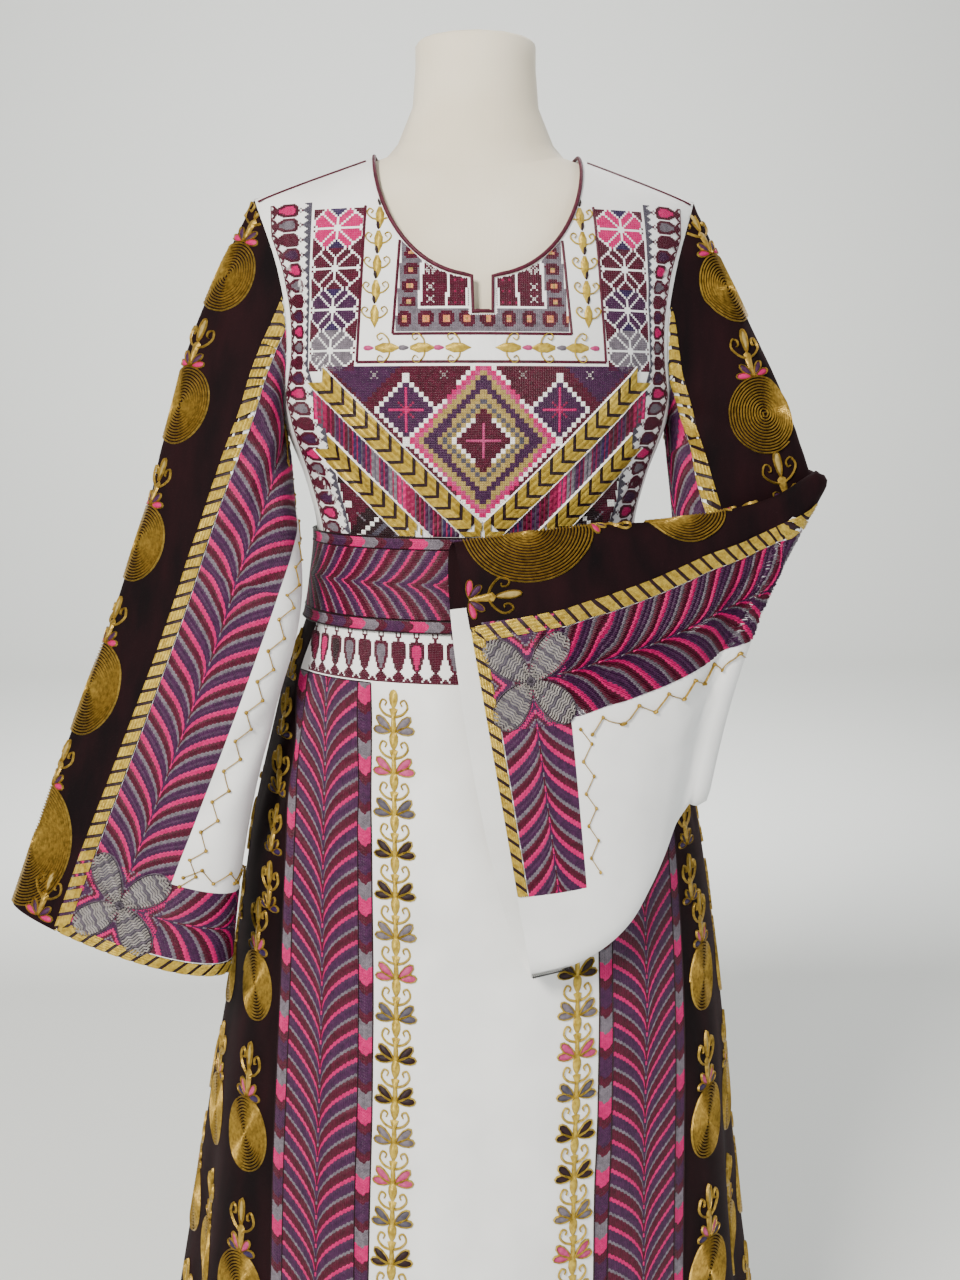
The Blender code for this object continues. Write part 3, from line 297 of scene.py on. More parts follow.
def creaseDepth(across, along, creases, unitAcross=1.0):
    # sum of soft troughs with a low ridge on each side; each fades at both its ends
    total = np.zeros(np.broadcast(across, along).shape)
    for startU, startV, endU, endV, wide, deep in creases:
        wayU, wayV = (endU - startU) * unitAcross, endV - startV
        length = math.hypot(wayU, wayV)
        du, dv = (across - startU) * unitAcross, along - startV
        share = (du * wayU + dv * wayV) / length ** 2
        side = (du * wayV - dv * wayU) / length
        bow = 0.06 * length * np.sin(np.pi * np.clip(share, 0, 1))     # no crease is quite straight
        near = (side + bow) / (wide * 0.001)
        fade = ease((share + 0.12) / 0.35) * ease((1.12 - share) / 0.45)
        trough, ridge = np.exp(-near ** 2), np.exp(-(np.abs(near) - 1.9) ** 2)
        total = total - deep * 0.001 * fade * (trough - 0.42 * ridge)
    return total


def onBody(angle, z, lift=0.0):
    # place on the dress with its creases, some way above the cloth
    angle, z = np.broadcast_arrays(np.asarray(angle, float), np.asarray(z, float))
    turned = (np.degrees(angle) + 180) % 360 - 180
    sunk = creaseDepth(turned, z, bodyCreases, metresPerDegree)
    offset = np.asarray(sunk + lift)[..., None]
    return plainBody(angle, z) + bodyNormal(angle, z) * offset


def angleAt(x, z):
    return np.arcsin(np.clip(x / outline("half", z), -1, 1))


def onChest(x, z, lift=0.0):
    return onBody(angleAt(x, z), z, lift)


def makeArcs():
    # table from length round the body to angle, measured from the middle of the front
    heights = np.linspace(cut["hem"], 1.33, 130)
    lengths = np.linspace(-1.05, 1.05, 421)
    angles = np.linspace(-math.pi, math.pi, 721)
    found = np.empty((len(heights), len(lengths)))
    whole = np.empty(len(heights))
    for k, z in enumerate(heights):
        ring = plainBody(angles, np.full(angles.shape, z))
        steps = np.linalg.norm(np.diff(ring, axis=0), axis=1)
        reach = np.concatenate([[0], np.cumsum(steps)])
        reach -= np.interp(0, angles, reach)
        found[k] = np.interp(lengths, reach, angles)
        whole[k] = reach[-1] - reach[0]
    return dict(heights=heights, lengths=lengths, angles=found, whole=whole)


def bilinear(table, rows, columns):
    # value between the points of a grid
    i = np.clip(np.floor(rows).astype(int), 0, table.shape[0] - 2)
    j = np.clip(np.floor(columns).astype(int), 0, table.shape[1] - 2)
    s, t = rows - i, columns - j
    if table.ndim == 3:
        s, t = s[..., None], t[..., None]
    near = table[i, j] * (1 - t) + table[i, j + 1] * t
    return near * (1 - s) + (table[i + 1, j] * (1 - t) + table[i + 1, j + 1] * t) * s


arcs = makeArcs()


def arcAngle(length, z):
    length, z = np.broadcast_arrays(np.asarray(length, float), np.asarray(z, float))
    rows = np.interp(z, arcs["heights"], np.arange(len(arcs["heights"])))
    columns = np.interp(length, arcs["lengths"], np.arange(len(arcs["lengths"])))
    return bilinear(arcs["angles"], rows, columns)


def onRound(length, z, lift=0.0):
    return onBody(arcAngle(length, z), z, lift)


def bandAngles(z):
    return angleAt(cut["bandIn"], z), angleAt(smooth(bandOutTable["z"], bandOutTable["x"], z), z)


def armhole(turn, side):
    z = cut["shoulderZ"] + (cut["armpit"] - cut["shoulderZ"]) * (1 - np.cos(turn)) / 2
    return side * (math.pi / 2 - cut["armholeTurn"] * np.abs(np.sin(turn)) ** 1.25), z


def joinArmhole(free, turn, way, side):
    # draws a free ring of the sleeve in to the edge of the armhole
    angle, z = armhole(turn, side)
    edge = np.where((turn <= math.pi)[..., None], plainBody(angle, z), plainBody(math.pi - angle, z))
    share = ease(way)
    return (edge + np.array([side * cut["sleeveGap"], 0, 0])) * (1 - share) + free * share


def section(part, turn, thick):
    # ring of a sleeve between its two folds, some thickness in front of the line that joins them
    w = (1 - np.cos(turn)) / 2
    x = part["topX"] + w * (part["underX"] - part["topX"])
    z = part["topZ"] + w * (part["underZ"] - part["topZ"])
    y = part["topY"] + w * (part["underY"] - part["topY"]) - thick
    return np.stack([x, y, z], axis=-1)


def hangingRing(way, turn):
    # turn 0 is the top fold, then down the front to the underarm and back up behind
    turn = turn % (2 * math.pi)
    part = {name: smooth(hangingTable["way"], hangingTable[name], way) for name in sleeveNames}
    w = (1 - np.cos(turn)) / 2
    swell = np.sin(turn) * (0.62 + 0.38 * w)
    tuck = np.where(turn > math.pi, 0.55 * np.exp(-((w - 0.55) / 0.17) ** 2) * ease(way * 1.6), 0)
    free = section(part, turn, part["depth"] * swell * (1 - tuck))
    return joinArmhole(free, turn, way / armholeShare["hanging"], -1)


def flatSection(part, turn, row):
    # half thickness of the flattened sleeve, with round folds at the top and the underarm
    w = (1 - np.cos(turn)) / 2
    length = math.hypot(part["underX"] - part["topX"], part["underZ"] - part["topZ"])
    end = min(length / 2, part["depth"] * (1.2 + 22 * part["depth"]))
    under = end + (length / 2 - end) * np.interp(row, fold["slantRows"], fold["slantShares"])
    inward = np.minimum(np.minimum(w * length / end, (1 - w) * length / under), 1)
    return part["depth"] * np.sign(np.sin(turn)) * np.sqrt(1 - (1 - inward) ** 2)


def foldedRing(row, turn):
    # row 0 is the armhole, 1 the start of the fold, 2 its end and 3 the hem
    last = {name: upperTable[name][-1] for name in sleeveNames}
    turn = turn % (2 * math.pi)
    w = (1 - np.cos(turn)) / 2
    bend = -fold["bend"] * np.sin(math.pi * w) * ease((row - 0.5) * 2) * (1 - ease((row - 2) * 2.5))
    if row <= 1:
        stations = np.linspace(0, 1, len(upperRows))
        part = {name: smooth(stations, upperTable[name], row) for name in sleeveNames}
        free = section(part, turn, flatSection(part, turn, row))
        free[..., 0] += bend
        return joinArmhole(free, turn, row / armholeShare["folded"], 1)
    if row < 2:
        alongX, alongZ = last["underX"] - last["topX"], last["underZ"] - last["topZ"]
        outX, outZ = np.array([-alongZ, alongX]) / math.hypot(alongX, alongZ)
        roll = (row - 1) * math.pi
        reach = fold["radius"] - flatSection(last, turn, row)
        x = last["topX"] + w * alongX + outX * reach * math.sin(roll) + bend
        z = last["topZ"] + w * alongZ + outZ * reach * math.sin(roll)
        y = last["topY"] + w * (last["underY"] - last["topY"]) - fold["radius"] + reach * math.cos(roll)
        return np.stack([x, y, z], axis=-1)
    stations = np.linspace(0, 1, len(forearmRows) + 1)
    part = {}
    for name in sleeveNames:
        first = last[name] - (2 * fold["radius"] if name.endswith("Y") else 0)
        part[name] = smooth(stations, np.concatenate([[first], forearmTable[name]]), row - 2)
    point = section(part, turn, -flatSection(part, turn, row))
    hem = ease((row - fold["hemStart"]) / fold["hemRows"]) * fold["hemOut"]
    point[..., 0] += bend - hem * np.clip(np.sin(turn), 0, 1)
    point[..., 1] -= fold["bow"] * ease((row - 2) * 1.6) * np.sin(math.pi * w) ** 1.2
    return point


# creases of the sleeves: start and end as metres round from the top fold and metres down
# from the armhole, half width and depth in mm
hangingCreases = (
    (0.235, 0.030, 0.150, 0.210, 12, 4.2), (0.190, 0.050, 0.120, 0.200, 10, 2.8),
    (0.200, 0.150, 0.105, 0.330, 12, 3.2), (0.170, 0.290, 0.120, 0.470, 11, 2.4),
    (0.070, 0.040, 0.030, 0.150, 9, 1.6), (0.030, 0.220, -0.010, 0.360, 10, 1.6),
    (0.045, 0.420, 0.020, 0.560, 11, 1.6), (0.215, 0.420, 0.180, 0.560, 11, 2.4),
    (0.120, 0.550, 0.100, 0.700, 12, 1.8), (-0.090, 0.060, -0.060, 0.240, 12, 2.6),
    (-0.160, 0.130, -0.120, 0.330, 12, 3.0), (-0.110, 0.380, -0.140, 0.600, 13, 2.4),
    (-0.060, 0.560, -0.070, 0.700, 12, 1.6), (0.010, 0.040, 0.050, 0.110, 8, 1.2),
)
foldedCreases = (
    (0.210, 0.030, 0.160, 0.160, 10, 2.6), (0.180, 0.060, 0.090, 0.190, 10, 2.4),
    (0.140, 0.120, 0.060, 0.235, 9, 1.8), (0.045, 0.060, 0.010, 0.170, 9, 1.4),
    (0.020, 0.180, 0.055, 0.270, 8, 1.2), (-0.080, 0.060, -0.060, 0.200, 11, 2.2),
    (-0.150, 0.330, -0.190, 0.480, 9, 1.3), (-0.080, 0.360, -0.120, 0.520, 9, 1.1),
    (-0.220, 0.360, -0.230, 0.520, 9, 1.2), (-0.040, 0.380, -0.050, 0.500, 8, 0.9),
    (-0.180, 0.560, -0.165, 0.650, 9, 1.0), (0.090, 0.460, 0.100, 0.600, 10, 1.0),
)


# half of the way round that the grid covers, its step, and the ends where the creases fade
sleeveGrid = dict(reach=0.42, step=0.004, turns=541, armholeFade=0.03, hemFade=0.05)


def makeSleeve(ring, ways, side, creases, middle):
    # dense grid of a sleeve: rows down it, columns at even lengths round it from the top fold
    reach = np.arange(-sleeveGrid["reach"], sleeveGrid["reach"] + 0.0001, sleeveGrid["step"])
    turns = np.linspace(0, 2 * math.pi, sleeveGrid["turns"])
    points, whole, half = [], [], []
    for way in ways:
        circle = ring(way, turns)
        lengths = np.concatenate([[0], np.cumsum(np.linalg.norm(np.diff(circle, axis=0), axis=1))])
        points.append(ring(way, np.interp(reach % lengths[-1], lengths, turns)))
        whole.append(lengths[-1])
        half.append(np.interp(math.pi, turns, lengths))
    points = np.array(points)
    spine = points[:, int(np.argmin(np.abs(reach - middle)))]
    down = np.concatenate([[0], np.cumsum(np.linalg.norm(np.diff(spine, axis=0), axis=1))])
    normals = unit(np.cross(np.gradient(points, axis=1), np.gradient(points, axis=0))) * side
    grid = creaseDepth(reach[None, :], down[:, None], creases)
    grid *= ease(down / sleeveGrid["armholeFade"])[:, None]
    grid *= ease((down[-1] - down) / sleeveGrid["hemFade"])[:, None]
    return dict(points=points + normals * grid[..., None], normals=normals, down=down, reach=reach,
                whole=np.array(whole), half=np.array(half))


def gridPoint(sleeve, rows, columns, lift=0.0):
    normal = unit(bilinear(sleeve["normals"], rows, columns))
    return bilinear(sleeve["points"], rows, columns) + normal * np.asarray(lift + 0 * rows)[..., None]


def layOn(sleeve, reach, down, lift=0.0):
    # place by length round from the top fold and length down from the armhole
    reach, down = np.broadcast_arrays(np.asarray(reach, float), np.asarray(down, float))
    rows = np.interp(down, sleeve["down"], np.arange(len(sleeve["down"])))
    columns = np.interp(reach, sleeve["reach"], np.arange(len(sleeve["reach"])))
    return gridPoint(sleeve, rows, columns, lift)


# steps to each side in metres and their count; probe, longest step and room beyond the ends in grid cells
walk = dict(step=0.004, count=60, probe=0.25, most=4, slack=20)


def straighten(sleeve, ways, centres, first, last, keep):
    # true lengths on the sleeve: lines walked straight out to both sides of the velvet's centre
    step, probe, most, slack = (walk[name] for name in ("step", "probe", "most", "slack"))
    rows = np.linspace(first, last, 6 * (last - first))
    centre = np.interp(np.interp(rows, np.arange(len(ways)), ways), *zip(*centres))
    columns = np.interp(centre, sleeve["reach"], np.arange(len(sleeve["reach"])))
    spine = bilinear(sleeve["points"], rows, columns)
    length = np.concatenate([[0], np.cumsum(np.linalg.norm(np.diff(spine, axis=0), axis=1))])
    along = np.arange(0, length[-1], step)
    rows, columns = np.interp(along, length, rows), np.interp(along, length, columns)
    tangent = unit(np.gradient(bilinear(sleeve["points"], rows, columns), axis=0))
    rowTables, columnTables = [rows], [columns]
    for sign in (1, -1):
        r, c = rows.copy(), columns.copy()
        towards = None
        for ring in range(walk["count"]):
            byRow = bilinear(sleeve["points"], r + probe, c) - bilinear(sleeve["points"], r - probe, c)
            byColumn = bilinear(sleeve["points"], r, c + probe) - bilinear(sleeve["points"], r, c - probe)
            byRow, byColumn = byRow / (2 * probe), byColumn / (2 * probe)
            normal = unit(np.cross(byRow, byColumn))
            if towards is None:
                towards = byColumn * sign - tangent * np.sum(byColumn * sign * tangent, axis=1, keepdims=True)
            towards = unit(towards - normal * np.sum(towards * normal, axis=1, keepdims=True))
            rr, cc = np.sum(byRow * byRow, axis=1), np.sum(byColumn * byColumn, axis=1)
            rc = np.sum(byRow * byColumn, axis=1)
            wantR = np.sum(byRow * towards, axis=1) * step
            wantC = np.sum(byColumn * towards, axis=1) * step
            whole = np.maximum(rr * cc - rc * rc, 1e-18)
            r = r + np.clip((wantR * cc - wantC * rc) / whole, -most, most)
            r = np.clip(r, first - slack, last + slack)
            c = c + np.clip((wantC * rr - wantR * rc) / whole, -most, most)
            rowTables.insert(len(rowTables) if sign > 0 else 0, r.copy())
            columnTables.insert(len(columnTables) if sign > 0 else 0, c.copy())
    return dict(rows=np.stack(rowTables, axis=1), columns=np.stack(columnTables, axis=1), length=along[-1],
                sleeve=sleeve, first=first, last=last, keep=keep)


def gridPlace(lines, across, along):
    across, along = np.broadcast_arrays(np.asarray(across, float), np.asarray(along, float))
    i, j = along / walk["step"], across / walk["step"] + walk["count"]
    return bilinear(lines["rows"], i, j), bilinear(lines["columns"], i, j)


def onSleeve(lines, across, along, lift=0.0):
    # place by true lengths: across from the velvet's centre line, along it from the armhole
    rows, columns = gridPlace(lines, across, along)
    return gridPoint(lines["sleeve"], rows, columns, lift)


hangingLast, upperLast, forearmFirst, forearmLast = 169, 74, 101, 195     # rows of the two sleeve grids
hangingWays = np.linspace(0, 1, hangingLast + 1)
hanging = makeSleeve(hangingRing, hangingWays, -1, hangingCreases, 0.055)
foldWays = np.concatenate([np.linspace(0, 0.98, upperLast + 1),
                           np.linspace(1, 2, forearmFirst - upperLast - 1),
                           np.linspace(2.02, 3, forearmLast - forearmFirst + 1)])
folded = makeSleeve(foldedRing, foldWays, 1, foldedCreases, -0.055)
# centre of the velvet strip: row of the sleeve and length round from the top fold
hangingCentre = ((0.0, 0.018), (0.14, 0.022), (0.26, 0.022), (0.46, 0.014), (0.7, 0.011), (1.0, 0.005))
foldedCentre = ((0.0, 0.018), (0.29, 0.030), (0.45, 0.048), (0.6, 0.056), (0.9, 0.052), (1.0, 0.047),
                (2.0, 0.022), (2.35, 0.010), (2.7, 0.0), (3.0, -0.002))
# rows between which stitches lie: inside the armhole and the hem, and a little way into the elbow fold
seamRow, hemRow, upperOver, forearmOver = 0.6, 0.3, 4, 9
hangingLines = straighten(hanging, hangingWays, hangingCentre, 0, hangingLast,
                          (seamRow, hangingLast - hemRow))
upperLines = straighten(folded, foldWays, foldedCentre, 0, upperLast, (seamRow, upperLast + upperOver))
forearmLines = straighten(folded, foldWays, foldedCentre, forearmFirst, forearmLast,
                          (forearmFirst - forearmOver, forearmLast - hemRow))
print("surfaces ready, sleeves", round(hanging["down"][-1], 3), round(folded["down"][-1], 3))


def noiseScale(size):
    # scale of a noise texture with grains this many millimetres wide
    return 1000 / size


def bandScale(size):
    # scale of a wave texture with upright or level bands this many millimetres apart
    return 1000 * math.pi / 10 / size


def newMaterial(name):
    made = bpy.data.materials.new(name)
    made.use_nodes = True
    tree = made.node_tree
    return made, tree, tree.nodes["Principled BSDF"], addNode(tree, "ShaderNodeTexCoord").outputs["Object"]


def varied(tree, place, size, low, high, detail=2.0, stretch=(1, 1, 1)):
    # colour that drifts between two near tones, in patches of a size in millimetres
    spread = addNode(tree, "ShaderNodeMapping", [("Vector", place)], Scale=stretch)
    noise = addNode(tree, "ShaderNodeTexNoise", [("Vector", spread.outputs[0])], Scale=noiseScale(size),
                    Detail=detail)
    ramp = addNode(tree, "ShaderNodeValToRGB", [("Fac", noise.outputs["Fac"])])
    for element, spot, tone in zip(ramp.color_ramp.elements, (0.32, 0.68), (low, high)):
        element.position, element.color = spot, linear(tone)
    return ramp.outputs["Color"]


def finishMaterial(tree, shader, colour, height, deep, strength, **settings):
    # base colour, relief some metres deep, and the shader's other settings
    bump = addNode(tree, "ShaderNodeBump", [("Height", height)], Strength=strength, Distance=deep)
    tree.links.new(colour, shader.inputs["Base Color"])
    tree.links.new(bump.outputs["Normal"], shader.inputs["Normal"])
    for key, value in settings.items():
        shader.inputs[key.replace("_", " ")].default_value = value


def crepeMaterial():
    # white satin-back crepe: crossing threads, a soft gloss, a few cooler patches
    made, tree, shader, place = newMaterial("white satin crepe")
    # the threads are drawn 0.6 mm apart, about twice the real spacing, so that they show
    weft = addNode(tree, "ShaderNodeTexWave", [("Vector", place)], Scale=bandScale(0.604), Distortion=1.2,
                   Detail=1.0, bands_direction="Z")
    warp = addNode(tree, "ShaderNodeTexWave", [("Vector", place)], Scale=bandScale(0.668), Distortion=1.6,
                   Detail=1.0, bands_direction="X")
    both = addNode(tree, "ShaderNodeMath", [(0, weft.outputs["Fac"]), (1, warp.outputs["Fac"])],
                   operation="ADD")
    tone = varied(tree, place, 71.4, "dfe0df", "ecedec", 3)
    finishMaterial(tree, shader, tone, both.outputs[0], 0.00012, 0.5, Roughness=0.48, Sheen_Weight=0.15,
                   Sheen_Roughness=0.4)
    return made


def velvetMaterial():
    # pile velvet: nearly black in the hollows, wine red where the pile catches the light; this shade and
    # sheen are painted into its colour
    made, tree, shader, place = newMaterial("burgundy velvet")
    # tufts drawn 1.1 mm wide, coarser than the real pile, so that they show
    pile = addNode(tree, "ShaderNodeTexNoise", [("Vector", place)], Scale=noiseScale(1.11), Detail=2.0)
    # painted sheen and shade: the colour drifts in upright streaks from nearly black to wine red
    tone = varied(tree, place, 29.4, "070103", "1a0509", 4, (1.0, 1.0, 0.22))
    finishMaterial(tree, shader, tone, pile.outputs["Fac"], 0.0004, 0.6, Roughness=0.85, Sheen_Weight=0.05,
                   Sheen_Roughness=0.35, Sheen_Tint=linear("8a2c3e"), Specular_IOR_Level=0.12)
    return made


def jerseyMaterial():
    # cream knitted jersey over foam: ribs 1.2 mm apart, loops 1 mm long and a matte face
    made, tree, shader, place = newMaterial("cream knitted jersey")
    ribs = addNode(tree, "ShaderNodeTexWave", [("Vector", place)], Scale=bandScale(1.21), Distortion=0.8,
                   Detail=1.0, bands_direction="X")
    loops = addNode(tree, "ShaderNodeTexWave", [("Vector", place)], Scale=bandScale(0.952), Distortion=1.5,
                    Detail=1.0, bands_direction="Z")
    both = addNode(tree, "ShaderNodeMath", [(0, ribs.outputs["Fac"]), (1, loops.outputs["Fac"])],
                   operation="MULTIPLY")
    tone = varied(tree, place, 111, "d8cdb6", "e3dac6")
    finishMaterial(tree, shader, tone, both.outputs[0], 0.0003, 0.5, Roughness=0.85, Sheen_Weight=0.2)
    return made


def lacquerMaterial():
    # white lacquered steel: orange peel some 4 mm wide and a thin clear coat
    made, tree, shader, place = newMaterial("white lacquered steel")
    peel = addNode(tree, "ShaderNodeTexNoise", [("Vector", place)], Scale=noiseScale(3.85), Detail=1.0)
    tone = varied(tree, place, 167, "dcdad4", "e6e4df")
    finishMaterial(tree, shader, tone, peel.outputs["Fac"], 0.0001, 0.3, Roughness=0.32, Coat_Weight=0.3)
    return made


# embroidery threads: darker and lighter tone of each
threadTones = {
    "burgundy": ("360014", "4e0423"), "darkBurgundy": ("140208", "240710"), "purple": ("2c0c2e", "40183e"),
    "violet": ("1e0e34", "2e1846"), "pink": ("a20452", "bc0c62"), "rose": ("9a2a5c", "b24374"),
    "grey": ("544e56", "6e6670"), "slate": ("3c3844", "4e4a56"), "white": ("dcdad7", "eeedea"),
    "gold": ("7c6222", "b0903e"), "brightGold": ("927828", "bea444"), "tan": ("84703a", "a28c50"),
    "orange": ("b8683a", "d48f5e"), "silver": ("8f8a86", "b6b1ad"), "black": ("0c0a0b", "161315"),
    "darkPink": ("6c0630", "880e44"),
}
threadFinishes = {"gold": (0.34, 0.55), "brightGold": (0.36, 0.35), "silver": (0.40, 0.25)}     # rough, metal


def threadMaterial(name):
    # twisted floss: tone drifts along the skein and the ply shows as a fine ripple
    made, tree, shader, place = newMaterial("thread " + name)
    # plies 0.84 mm apart; on a diagonal the bands stand 2 / sqrt(3) times as wide
    ply = addNode(tree, "ShaderNodeTexWave", [("Vector", place)], Scale=bandScale(0.844) * 2 / math.sqrt(3),
                  Distortion=3.0, Detail=1.0, bands_direction="DIAGONAL")
    rough, metal = threadFinishes.get(name, (0.5, 0.0))
    tone = varied(tree, place, 4.17, *threadTones[name], 3)
    finishMaterial(tree, shader, tone, ply.outputs["Fac"], 0.0002, 0.6, Roughness=rough, Metallic=metal,
                   Specular_IOR_Level=0.28)
    return made


crepe, velvet, jersey, lacquer = crepeMaterial(), velvetMaterial(), jerseyMaterial(), lacquerMaterial()
threads = {name: threadMaterial(name) for name in threadTones}


def makePiece(name, points, faces, materials, faceKinds=None, sharp=None):
    # one object from arrays; faces is a list of arrays with three or four corners each
    mesh = bpy.data.meshes.new(name)
    sizes = np.concatenate([np.full(len(part), part.shape[1]) for part in faces])
    corners = np.concatenate([part.ravel() for part in faces]).astype(np.int32)
    mesh.vertices.add(len(points))
    mesh.vertices.foreach_set("co", np.ascontiguousarray(points, dtype=np.float32).ravel())
    mesh.loops.add(len(corners))
    mesh.loops.foreach_set("vertex_index", corners)
    mesh.polygons.add(len(sizes))
    mesh.polygons.foreach_set("loop_start", np.concatenate([[0], np.cumsum(sizes)[:-1]]).astype(np.int32))
    for material in materials:
        mesh.materials.append(material)
    if faceKinds is not None:
        mesh.polygons.foreach_set("material_index", faceKinds.astype(np.int32))
    mesh.update(calc_edges=True)
    mesh.polygons.foreach_set("use_smooth", np.full(len(sizes), sharp is not None))
    if sharp:
        mesh.set_sharp_from_angle(angle=math.radians(sharp))
    mesh.validate()
    piece = addObject(name, mesh)
    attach(piece, "root")
    return piece


def gridFaces(rows, columns, closed=False):
    i, j = np.meshgrid(np.arange(rows - 1), np.arange(columns if closed else columns - 1), indexing="ij")
    right, below = (j + 1) % columns, i + 1
    quads = np.stack([i * columns + j, i * columns + right, below * columns + right, below * columns + j], -1)
    return quads.reshape(-1, 4)


def shell(name, outer, inner, material, closed=False):
    # closed wall of cloth between two grids of the same size
    rows, columns = outer.shape[:2]
    points = np.concatenate([outer.reshape(-1, 3), inner.reshape(-1, 3)])
    face = gridFaces(rows, columns, closed)
    count, top = rows * columns, (rows - 1) * columns
    j = np.arange(columns if closed else columns - 1)
    right = (j + 1) % columns
    low = np.stack([j, j + count, right + count, right], -1)
    high = np.stack([top + j, top + right, top + right + count, top + j + count], -1)
    faces = [face, face[:, ::-1] + count, low, high]
    if not closed:
        i = np.arange(rows - 1) * columns
        k = i + columns - 1
        faces.append(np.stack([i, i + columns, i + columns + count, i + count], -1))
        faces.append(np.stack([k, k + count, k + columns + count, k + columns], -1))
    return makePiece(name, points, faces, [material], sharp=60)


def bodiceGrid(behind):
    # angles and heights of one half of the bodice, row by row from the waist to the neck and shoulders
    foot = cut["waist"] + 0.00015     # clear of the skirt's top edge
    sideRows, sleeveRows = 34, 40
    turns = np.linspace(math.pi, 0, sleeveRows)
    low = foot + (cut["armpit"] - foot) * np.linspace(0, 1, sideRows, endpoint=False) ** 1.15
    edgeAngle, edgeZ = armhole(turns, 1)
    rightAngle = np.concatenate([np.full(sideRows, math.pi / 2), edgeAngle])
    rightZ = np.concatenate([low, edgeZ])
    share = (rightZ - foot) / (cut["shoulderZ"] - foot)
    if behind:
        neckX = np.linspace(0, cut["neckX"], 22)
        neckZ = cut["neckZ"] - cut["backNeckDepth"] * (1 - (neckX / cut["neckX"]) ** 2) ** 0.75
        middleX, middleZ = [], []
    else:
        turn = math.pi / 2 * np.linspace(1, 0, 34) ** 1.6
        neckX = cut["neckX"] * np.cos(turn) ** 0.92
        neckZ = cut["neckZ"] - cut["neckDepth"] * np.sin(turn)
        neckX, neckZ = neckX[neckX > 0.016], neckZ[neckX > 0.016]
        half, top = cut["notchHalf"], cut["neckZ"] - cut["neckDepth"]
        middleX = [0, half * 0.5, half - 0.0008, half]
        middleZ = [cut["notchZ"]] * 3 + [top]
    seamX = np.linspace(cut["neckX"], cut["shoulderX"], 17)[1:]
    topX = np.concatenate([middleX, neckX, seamX])
    topZ = np.concatenate([middleZ, neckZ, shoulderHeight(seamX)])
    topAngle = angleAt(topX, topZ)
    topAngle[-1] = math.pi / 2
    across = 0.35 * topX / cut["shoulderX"] + 0.65 * np.linspace(0, 1, len(topX))
    near, t = across[None, :] ** 5, share[:, None]
    angle = (1 - t) * across * math.pi / 2 + t * topAngle + near * (rightAngle[:, None] - math.pi / 2)
    slow = 1 - (1 - t) ** 1.25
    z = foot + (topZ - foot) * (slow + (t - slow) * near)
    angle = np.concatenate([-angle[:, :0:-1], angle], axis=1)
    z = np.concatenate([z[:, :0:-1], z], axis=1)
    return (math.pi - angle[:, ::-1] if behind else angle), (z[:, ::-1] if behind else z)


def bodyShell(name, angle, z, material, lift=0.0, closed=False, thick=cut["thick"]):
    piece = shell(name + "_cloth", onBody(angle, z, lift), onBody(angle, z, lift - thick), material, closed)
    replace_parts(piece, name)
    return piece


def panel(name, heights, start, end, columns, material):
    # piece of the skirt between two upright edges, each an angle as a function of the height
    shares = np.linspace(0, 1, columns)[None, :]
    first, last = start(heights)[:, None], end(heights)[:, None]
    angle = first + (last - first) * shares
    return bodyShell(name, angle, np.broadcast_to(heights[:, None], angle.shape), material)


def degrees(value):
    return lambda z: np.full_like(z, math.radians(value))


def bandIn(z):
    return bandAngles(z)[0]


def bandOut(z):
    return bandAngles(z)[1]


def minus(edge):
    return lambda z: -edge(z)


def addBody():
    for name, behind in (("bodice_front", False), ("bodice_back", True)):
        angle, z = bodiceGrid(behind)
        bodyShell(name, angle, z, crepe)
    low = np.linspace(cut["hem"], cut["hipSeam"], 150)
    full = np.linspace(cut["hem"], cut["waist"], 165)
    hip = np.linspace(cut["hipSeam"], cut["waist"], 20)
    back = cut["sideBack"]
    ground = threads["darkBurgundy"]
    panels = (
        ("skirt_front", low, minus(bandIn), bandIn, 42, crepe),
        ("skirt_band_left", low, minus(bandOut), minus(bandIn), 22, ground),
        ("skirt_band_right", low, bandIn, bandOut, 22, ground),
        ("skirt_side_left", full, degrees(-90), minus(bandOut), 50, velvet),
        ("skirt_side_right", full, bandOut, degrees(90), 50, velvet),
        ("skirt_side_back_left", full, degrees(-back), degrees(-90), 40, velvet),
        ("skirt_side_back_right", full, degrees(90), degrees(back), 40, velvet),
        ("skirt_back", full, degrees(back), degrees(360 - back), 84, crepe),
        ("hip_band", hip, minus(bandOut), bandOut, 70, crepe),
    )
    for name, *settings in panels:
        panel(name, *settings)
    rim, up = np.linspace(-math.pi, math.pi, 241)[:-1], np.linspace(cut["beltLow"], cut["beltTop"], 19)
    angle, z = np.meshgrid(rim, up)
    bodyShell("belt", angle, z, ground, cut["beltOut"], True, cut["beltThick"])


binding = dict(radius=0.0019, lift=0.0009, sides=8, shoulderPoints=16)


